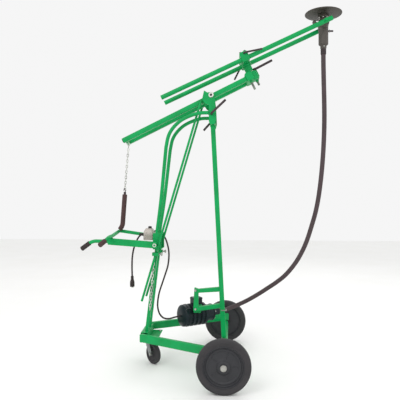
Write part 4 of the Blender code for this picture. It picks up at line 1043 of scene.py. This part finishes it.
# ---- Switch box ----
def make_switch():
    """The switch's can, its turner with a pointer, and its cover screws."""
    lo, hi = low("switch_box"), high("switch_box")
    middle_line = (lo + hi) / 2.0 * np.array([1.0, 1.0, 0.0])
    levels = np.array([lo[2], lo[2] + 0.0012, lo[2] + 0.0200, lo[2] + 0.0205, lo[2] + 0.0230,
                       hi[2] - 0.0240, hi[2] - 0.0165, hi[2] - 0.0085, hi[2] - 0.0020, hi[2]])
    shrink = np.array([0.955, 1.0, 1.0, 0.972, 0.972, 0.985, 0.925, 0.800, 0.650, 0.600])
    can = carried(middle_line + Z * levels[:, None], rounded_rectangle(
        hi[1] - lo[1], hi[0] - lo[0], 0.012, 7), Y, shrink)
    shell("switch_box_can", can, BOX_CAST, "base", ("switch_box",))
    knob = pivot("switch_turn")
    skirt = [(0.0, 0.0002), (0.0112, 0.0002), (0.0112, 0.002), (0.0098, 0.0032), (0.0092, 0.0095),
             (0.0080, 0.0112), (0.0, 0.0116)]
    turned("switch_knob_turner", skirt, knob, Z, KNOB, "switch_turner",
           ("switch_knob",), 48, ripple=lambda a: 1.0 - 0.035 * (np.cos(12.0 * a) > 0.2))
    bar("switch_pointer", [knob + X * -0.008 + Z * 0.0118, knob + X * 0.0005 + Z * 0.0118],
        rounded_rectangle(0.0018, 0.0010, 0.0004, 3), BRIGHT, "switch_turner",
        ease=0.0003)
    face = lo[1]
    for k, (dx, dz) in enumerate(((0.008, 0.008), (-0.008, 0.008), (0.008, -0.014),
                                  (-0.008, -0.014))):
        x = (lo[0] if dx > 0 else hi[0]) + dx
        z = lo[2] + (0.010 if dz > 0 else 0.031)
        head = [(0.0, 0.0), (0.0030, 0.0), (0.0030, 0.0008), (0.0020, 0.0017), (0.0, 0.0019)]
        turned(f"box_screw_{k}", head, np.array([x, face - 0.0001, z]), -Y, ZINC, "base",
               sides=20)


# ---- Motor ----
MOTOR_FRONT = np.array([-0.179, 0.060, 0.238])
MOTOR_BACK = np.array([0.040, 0.208, 0.238])
MOTOR_AXIS = unit(MOTOR_BACK - MOTOR_FRONT)


def make_motor():
    """The motor: a finned barrel, a domed end bell with vents of painted shadow, a bolted gear
    case.
    """
    radius = 0.0625
    t = np.linspace(0.0, np.pi / 2.0, 9)
    dome = np.stack([0.026 + 0.0345 * np.sin(t), 0.016 * (1.0 - np.cos(t)) ** 0.8], axis=1)
    bell = np.concatenate([[(0.0, 0.0), (0.020, 0.0)], dome, [(0.0605, 0.0285), (0.058, 0.030),
                                                            (0.0, 0.030)]])
    turned("motor_domed_bell", bell, MOTOR_FRONT, MOTOR_AXIS, MOTOR, "base",
           ("motor_end_bell",), 72)
    steps = np.arange(5)[:, None]
    along = np.concatenate([(0.0303 + 0.0265 * steps + np.array([[0.0, 0.0012, 0.0128, 0.0140,
                                                                0.0252]])).ravel()[:-1],
                            [0.1550]])
    size = np.tile([0.0612, radius, radius, 0.0560, 0.0560], 5)
    size[-1] = 0.0545
    barrel = np.concatenate([[(0.0, 0.0303)], np.stack([size, along], axis=1), [(0.0, 0.155)]])
    turned("motor_barrel", barrel, MOTOR_FRONT, MOTOR_AXIS, MOTOR, "base",
           ("motor_housing",), 96)
    side = unit(np.cross(MOTOR_AXIS, Z))
    for k, turn in enumerate(np.arange(30) * 2.0 * np.pi / 30.0):
        spoke = side * np.cos(turn) + Z * np.sin(turn)
        mid = MOTOR_FRONT + spoke * 0.0570
        bar(f"motor_fin_{k:02d}", [mid + MOTOR_AXIS * 0.0405, mid + MOTOR_AXIS * 0.1392],
            rounded_rectangle(0.0034, 0.0080, 0.0010, 3), MOTOR, "base",
            across=np.cross(MOTOR_AXIS, spoke))
    terminal_box(side)
    case = [(0.0, 0.1553), (0.047, 0.1553), (0.048, 0.1563), (0.048, 0.166), (0.0455, 0.168),
            (0.0455, 0.196), (0.048, 0.198), (0.048, 0.204), (0.046, 0.206), (0.030, 0.2155),
            (0.0225, 0.218), (0.0215, 0.220), (0.0215, 0.249), (0.0205, 0.250), (0.0, 0.250)]
    turned("gear_case_turned", case, MOTOR_FRONT, MOTOR_AXIS, MOTOR, "base",
           ("gear_case",), 64)
    for k, turn in enumerate(np.arange(6) * np.pi / 3.0 + 0.26):
        spoke = side * np.cos(turn) + Z * np.sin(turn)
        hex_head(f"gear_case_bolt_{k}", MOTOR_FRONT + spoke * 0.041 + MOTOR_AXIS * 0.2065,
                 MOTOR_AXIS, 0.008, 0.0045, ZINC, "base")
        # Each vent is a near-black bar laid on the bell, painted shadow for the dark inside of a
        # slot.
        slot_at = MOTOR_FRONT + spoke * 0.044 + MOTOR_AXIS * 0.0062
        lean = unit(spoke * 0.9 + MOTOR_AXIS * 0.42)
        bar(f"bell_vent_painted_shadow_{k}", [slot_at - lean * 0.008, slot_at + lean * 0.008],
            rounded_rectangle(0.012, 0.0024, 0.0010, 4), SHADOW, "base",
            across=np.cross(MOTOR_AXIS, spoke))
    eased("motor_cradle", GREEN, 0.0018)
    eased("motor_saddle", GREEN, 0.0010)
    lo = low("motor_cradle")
    for k, z in enumerate((0.294, 0.396)):
        place = np.array([lo[0] + 0.012, lo[1] - 0.0002, z])
        hex_head(f"cradle_bolt_{k}", place, -Y, 0.012, 0.006, ZINC, "base")


def terminal_box(side):
    """The terminal box on the barrel with its lid and screws, and four bolted bell ears."""
    foot = MOTOR_FRONT + MOTOR_AXIS * 0.104 + Z * 0.052
    section = rounded_rectangle(0.050, 0.056, 0.006)
    levels = np.array([[0.0], [0.030], [0.0303], [0.0325], [0.0328], [0.0410], [0.0440]])
    body = carried(foot + Z * levels, section, side,
                   [1.0, 1.0, 0.955, 0.955, 1.03, 1.03, 0.93])
    shell("terminal_box", body, MOTOR, "base")
    for k, (a, b) in enumerate(((1, 1), (1, -1), (-1, 1), (-1, -1))):
        place = foot + Z * 0.0438 + side * a * 0.0180 + MOTOR_AXIS * b * 0.0205
        hex_head(f"terminal_lid_screw_{k}", place, Z, 0.006, 0.0025, ZINC, "base")
        spoke = unit(side * a + Z * b)
        ear = MOTOR_FRONT + spoke * 0.0560
        lug = [(0.0, 0.018), (0.0080, 0.0185), (0.0092, 0.0200), (0.0092, 0.0420),
               (0.0080, 0.0435), (0.0, 0.0440)]
        turned(f"bell_ear_{k}", lug, ear, MOTOR_AXIS, MOTOR, "base", sides=28)
        hex_head(f"bell_ear_bolt_{k}", ear + MOTOR_AXIS * 0.0185, -MOTOR_AXIS, 0.0085, 0.0045,
                 ZINC, "base")


# ---- Cords ----
FLEX_ROUTE = [
    MOTOR_FRONT + MOTOR_AXIS * 0.2503, MOTOR_FRONT + MOTOR_AXIS * 0.295,
    (0.140, 0.249, 0.262), (0.200, 0.247, 0.291), (0.258, 0.232, 0.328), (0.315, 0.207, 0.371),
    (0.368, 0.182, 0.413), (0.414, 0.158, 0.457), (0.458, 0.137, 0.515), (0.493, 0.118, 0.577),
    (0.524, 0.100, 0.652), (0.549, 0.084, 0.738), (0.569, 0.070, 0.818), (0.583, 0.058, 0.900),
    (0.594, 0.044, 1.003), (0.601, 0.030, 1.110), (0.605, 0.020, 1.215), (0.606, 0.012, 1.320),
    (0.604, 0.006, 1.420), (0.601, 0.002, 1.520), (0.599, 0.0, 1.600), (0.5985, 0.0, 1.645),
    (0.5985, 0.0, 1.6932)]
BOX_LEFT = -0.3713
POWER_ROUTE = [(BOX_LEFT - 0.0003, 0.0, 0.696), (-0.386, 0.0, 0.696), (-0.405, 0.0, 0.676),
               (-0.425, 0.0, 0.630), (-0.435, 0.0, 0.582), (-0.438, 0.0, 0.531),
               (-0.437, 0.0, 0.4695)]
MOTOR_ROUTE = [
    (BOX_LEFT + 0.030, 0.0303, 0.700), (BOX_LEFT + 0.030, 0.054, 0.700),
    (BOX_LEFT + 0.052, 0.078, 0.712), (-0.290, 0.094, 0.700), (-0.266, 0.104, 0.664),
    (-0.251, 0.107, 0.612), (-0.247, 0.102, 0.566), (-0.252, 0.096, 0.515),
    (-0.265, 0.090, 0.470), (-0.281, 0.082, 0.420), (-0.296, 0.072, 0.372),
    (-0.304, 0.062, 0.325), (-0.303, 0.052, 0.285), (-0.290, 0.040, 0.252),
    (-0.266, 0.030, 0.233), (-0.236, 0.0305, 0.230), (-0.207, 0.041, 0.236),
    MOTOR_FRONT - MOTOR_AXIS * 0.0003]


def hose(name, path, radius, sides, finish, hidden):
    """A cord's tube: a circle carried along the route, with a UV that runs in metres."""
    across = unit(np.array([0.35, 0.9, -0.25]))
    piece = shell(name, carried(path, circle(radius, sides), across), finish, None,
                  hidden)
    mesh = piece.data
    run = np.concatenate([[0.0], np.cumsum(np.linalg.norm(np.diff(path, axis=0), axis=1))])
    places = np.zeros(len(mesh.vertices) * 3)
    mesh.vertices.foreach_get("co", places)
    places = places.reshape(-1, 3)
    nearest = np.argmin(((places[:, None] - path[None]) ** 2).sum(axis=2), axis=1)
    corner = np.zeros(len(mesh.loops), int)
    mesh.loops.foreach_get("vertex_index", corner)
    uv = np.zeros((len(corner), 2))
    uv[:, 1] = run[nearest[corner]]
    layer = mesh.uv_layers.new(name="along")
    layer.data.foreach_set("uv", uv.ravel())
    return piece


# Where one length of the sheath gives way to the next, out of 240 even steps.
HOSE_JOINS = [0, 90, 128, 206, 240]


def make_flexible_shaft():
    """The sheathed shaft in four end-to-end lengths along one route from the base to the head,
    with a crimped collar at each end; the lengths ride on no body."""
    route = flowing(FLEX_ROUTE, 241)
    chain = ["base", "lower_boom", "swivel", "upper_boom", "head"]
    marks = HOSE_JOINS
    for k, (a, b) in enumerate(zip(chain, chain[1:])):
        path = route[marks[k] : marks[k + 1] + 1]
        piece = hose(f"flexible_shaft_length_{k}", path, 0.0123, 24, HOSE,
                     ("flexible_shaft",))
        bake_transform(piece)
    ferrule(route[0], MOTOR_AXIS, "motor_ferrule", "base")
    ferrule(route[-1], -Z, "head_ferrule", "head")


def ferrule(place, outward, name, body):
    """A crimped collar over the sheath's end: a sleeve with two pressed grooves."""
    r = 0.0148
    profile = [(0.0126, 0.0006), (r, 0.0006), (r, 0.007), (r - 0.001, 0.0085), (r, 0.010),
               (r, 0.015), (r - 0.001, 0.0165), (r, 0.018), (r, 0.024), (0.0135, 0.028),
               (0.0126, 0.028)]
    turned(name, profile, place, outward, BLACK, body, sides=40, closed=True)


def make_small_cords():
    """The two leads, each a tube along its route with a tapered boot at the switch box."""
    for name, route, node, far in (("power_lead", POWER_ROUTE, "power_cord", "plug"),
                                   ("motor_lead", MOTOR_ROUTE, "motor_cord", "object")):
        path = flowing(route, 90)
        piece = hose(name, path, 0.0047, 16, CORD, (node,))
        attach(piece, "base")
        more = {"with_pieces": [make_plug()]} if far == "plug" else {}
        lead = unit(path[3] - path[0])
        boot = [(0.0049, 0.0004), (0.0092, 0.0004), (0.0092, 0.003), (0.0078, 0.0045),
                (0.0074, 0.012), (0.0058, 0.024), (0.0054, 0.026), (0.0049, 0.026)]
        turned(name + "_boot", boot, path[0], lead, KNOB, "base", sides=32,
               closed=True)


def make_plug():
    """A moulded in-line plug: a ringed neck, a shoulder, a round body and its metal end."""
    base = middle("plug") * np.array([1.0, 1.0, 0.0]) + Z * high("plug")[2]
    ring = lambda k: [(0.0076, 0.006 * k), (0.0086, 0.006 * k + 0.0012),
                      (0.0076, 0.006 * k + 0.0036)]
    body = [(0.0, 0.0), (0.0070, 0.0)] + ring(0.6) + ring(1.5) + ring(2.4) + [
        (0.0090, 0.021), (0.0116, 0.030), (0.0124, 0.036), (0.0124, 0.057), (0.0116, 0.0585),
        (0.0, 0.0590)]
    piece = turned("moulded_plug", body, base, -Z, GRIP, "base", ("plug",), 40)
    for k, (dx, dy) in enumerate(((-0.0045, 0.0), (0.0045, 0.0), (0.0, 0.0045))):
        at = base + X * dx + Y * dy - Z * 0.0585
        bar(f"plug_pin_{k}", [at, at - Z * 0.0070], circle(0.0017, 12), BRIGHT, "base",
            across=X, ease=0.0006)
    return piece


# ---- Floor, light and camera ----
def make_stage():
    """A pale floor, an even white sky and three soft lamps."""
    mesh = bpy.data.meshes.new("floor")
    reach = 8.0
    mesh.from_pydata([(-reach, -reach, 0.0), (reach, -reach, 0.0), (reach, reach, 0.0),
                      (-reach, reach, 0.0)], [], [(0, 1, 2, 3)])
    floor = bpy.data.objects.new("floor", mesh)
    bpy.context.scene.collection.objects.link(floor)
    material, tree, shader, where = start_material("pale_floor", Roughness=0.9)
    tree.links.new(ramp(tree, blotches(tree, where, 2.0), [(0.3, linear("#F4F4F2")),
                                                           (0.7, linear("#F7F7F6"))]),
                   shader.inputs["Base Color"])
    mesh.materials.append(material)
    world = bpy.data.worlds.new("soft_sky")
    world.use_nodes = True
    world.node_tree.nodes["Background"].inputs["Color"].default_value = linear("#FFFFFF")
    world.node_tree.nodes["Background"].inputs["Strength"].default_value = 0.92
    bpy.context.scene.world = world
    for name, place, energy, size in (("key_light", (-1.8, -3.0, 3.4), 48.0, 2.2),
                                      ("fill_light", (2.8, -2.4, 2.2), 16.0, 2.6),
                                      ("back_light", (0.6, 2.8, 3.2), 24.0, 2.4)):
        data = bpy.data.lights.new(name, "AREA")
        data.energy = energy
        data.size = size
        lamp = bpy.data.objects.new(name, data)
        bpy.context.scene.collection.objects.link(lamp)
        lamp.location = place
        aim = Vector((0.0, 0.0, 0.95)) - Vector(place)
        lamp.rotation_euler = aim.to_track_quat("-Z", "Y").to_euler()


def make_camera():
    """A level camera beside the stand."""
    data = bpy.data.cameras.new("camera")
    data.lens = 43.2
    data.sensor_width = 36.0
    camera = bpy.data.objects.new("camera", data)
    bpy.context.scene.collection.objects.link(camera)
    camera.location = (0.099, -2.608, 0.886)
    camera.rotation_euler = Vector((-0.0623, 0.998, 0.0)).to_track_quat("-Z", "Y").to_euler()
    bpy.context.scene.camera = camera


make_camera()
bpy.context.scene.view_settings.view_transform = "Standard"
make_stage()
make_flexible_shaft()
make_small_cords()
make_base()
for side_name, side_sign in SIDES:
    make_wheel(side_name, side_sign)
make_caster()
make_mast()
make_top()
crank("bracket_crank_rod", "bracket_crank_turn", "bracket_crank", 0.0062, "crank_on_bracket")
make_lower_boom()
make_stay()
make_swivel()
crank("block_crank_rod", "block_crank_turn", "upper_crank", 0.0050, "crank_on_block")
make_upper_boom()
make_head()
make_lever()
make_pull_link()
make_switch()
make_motor()
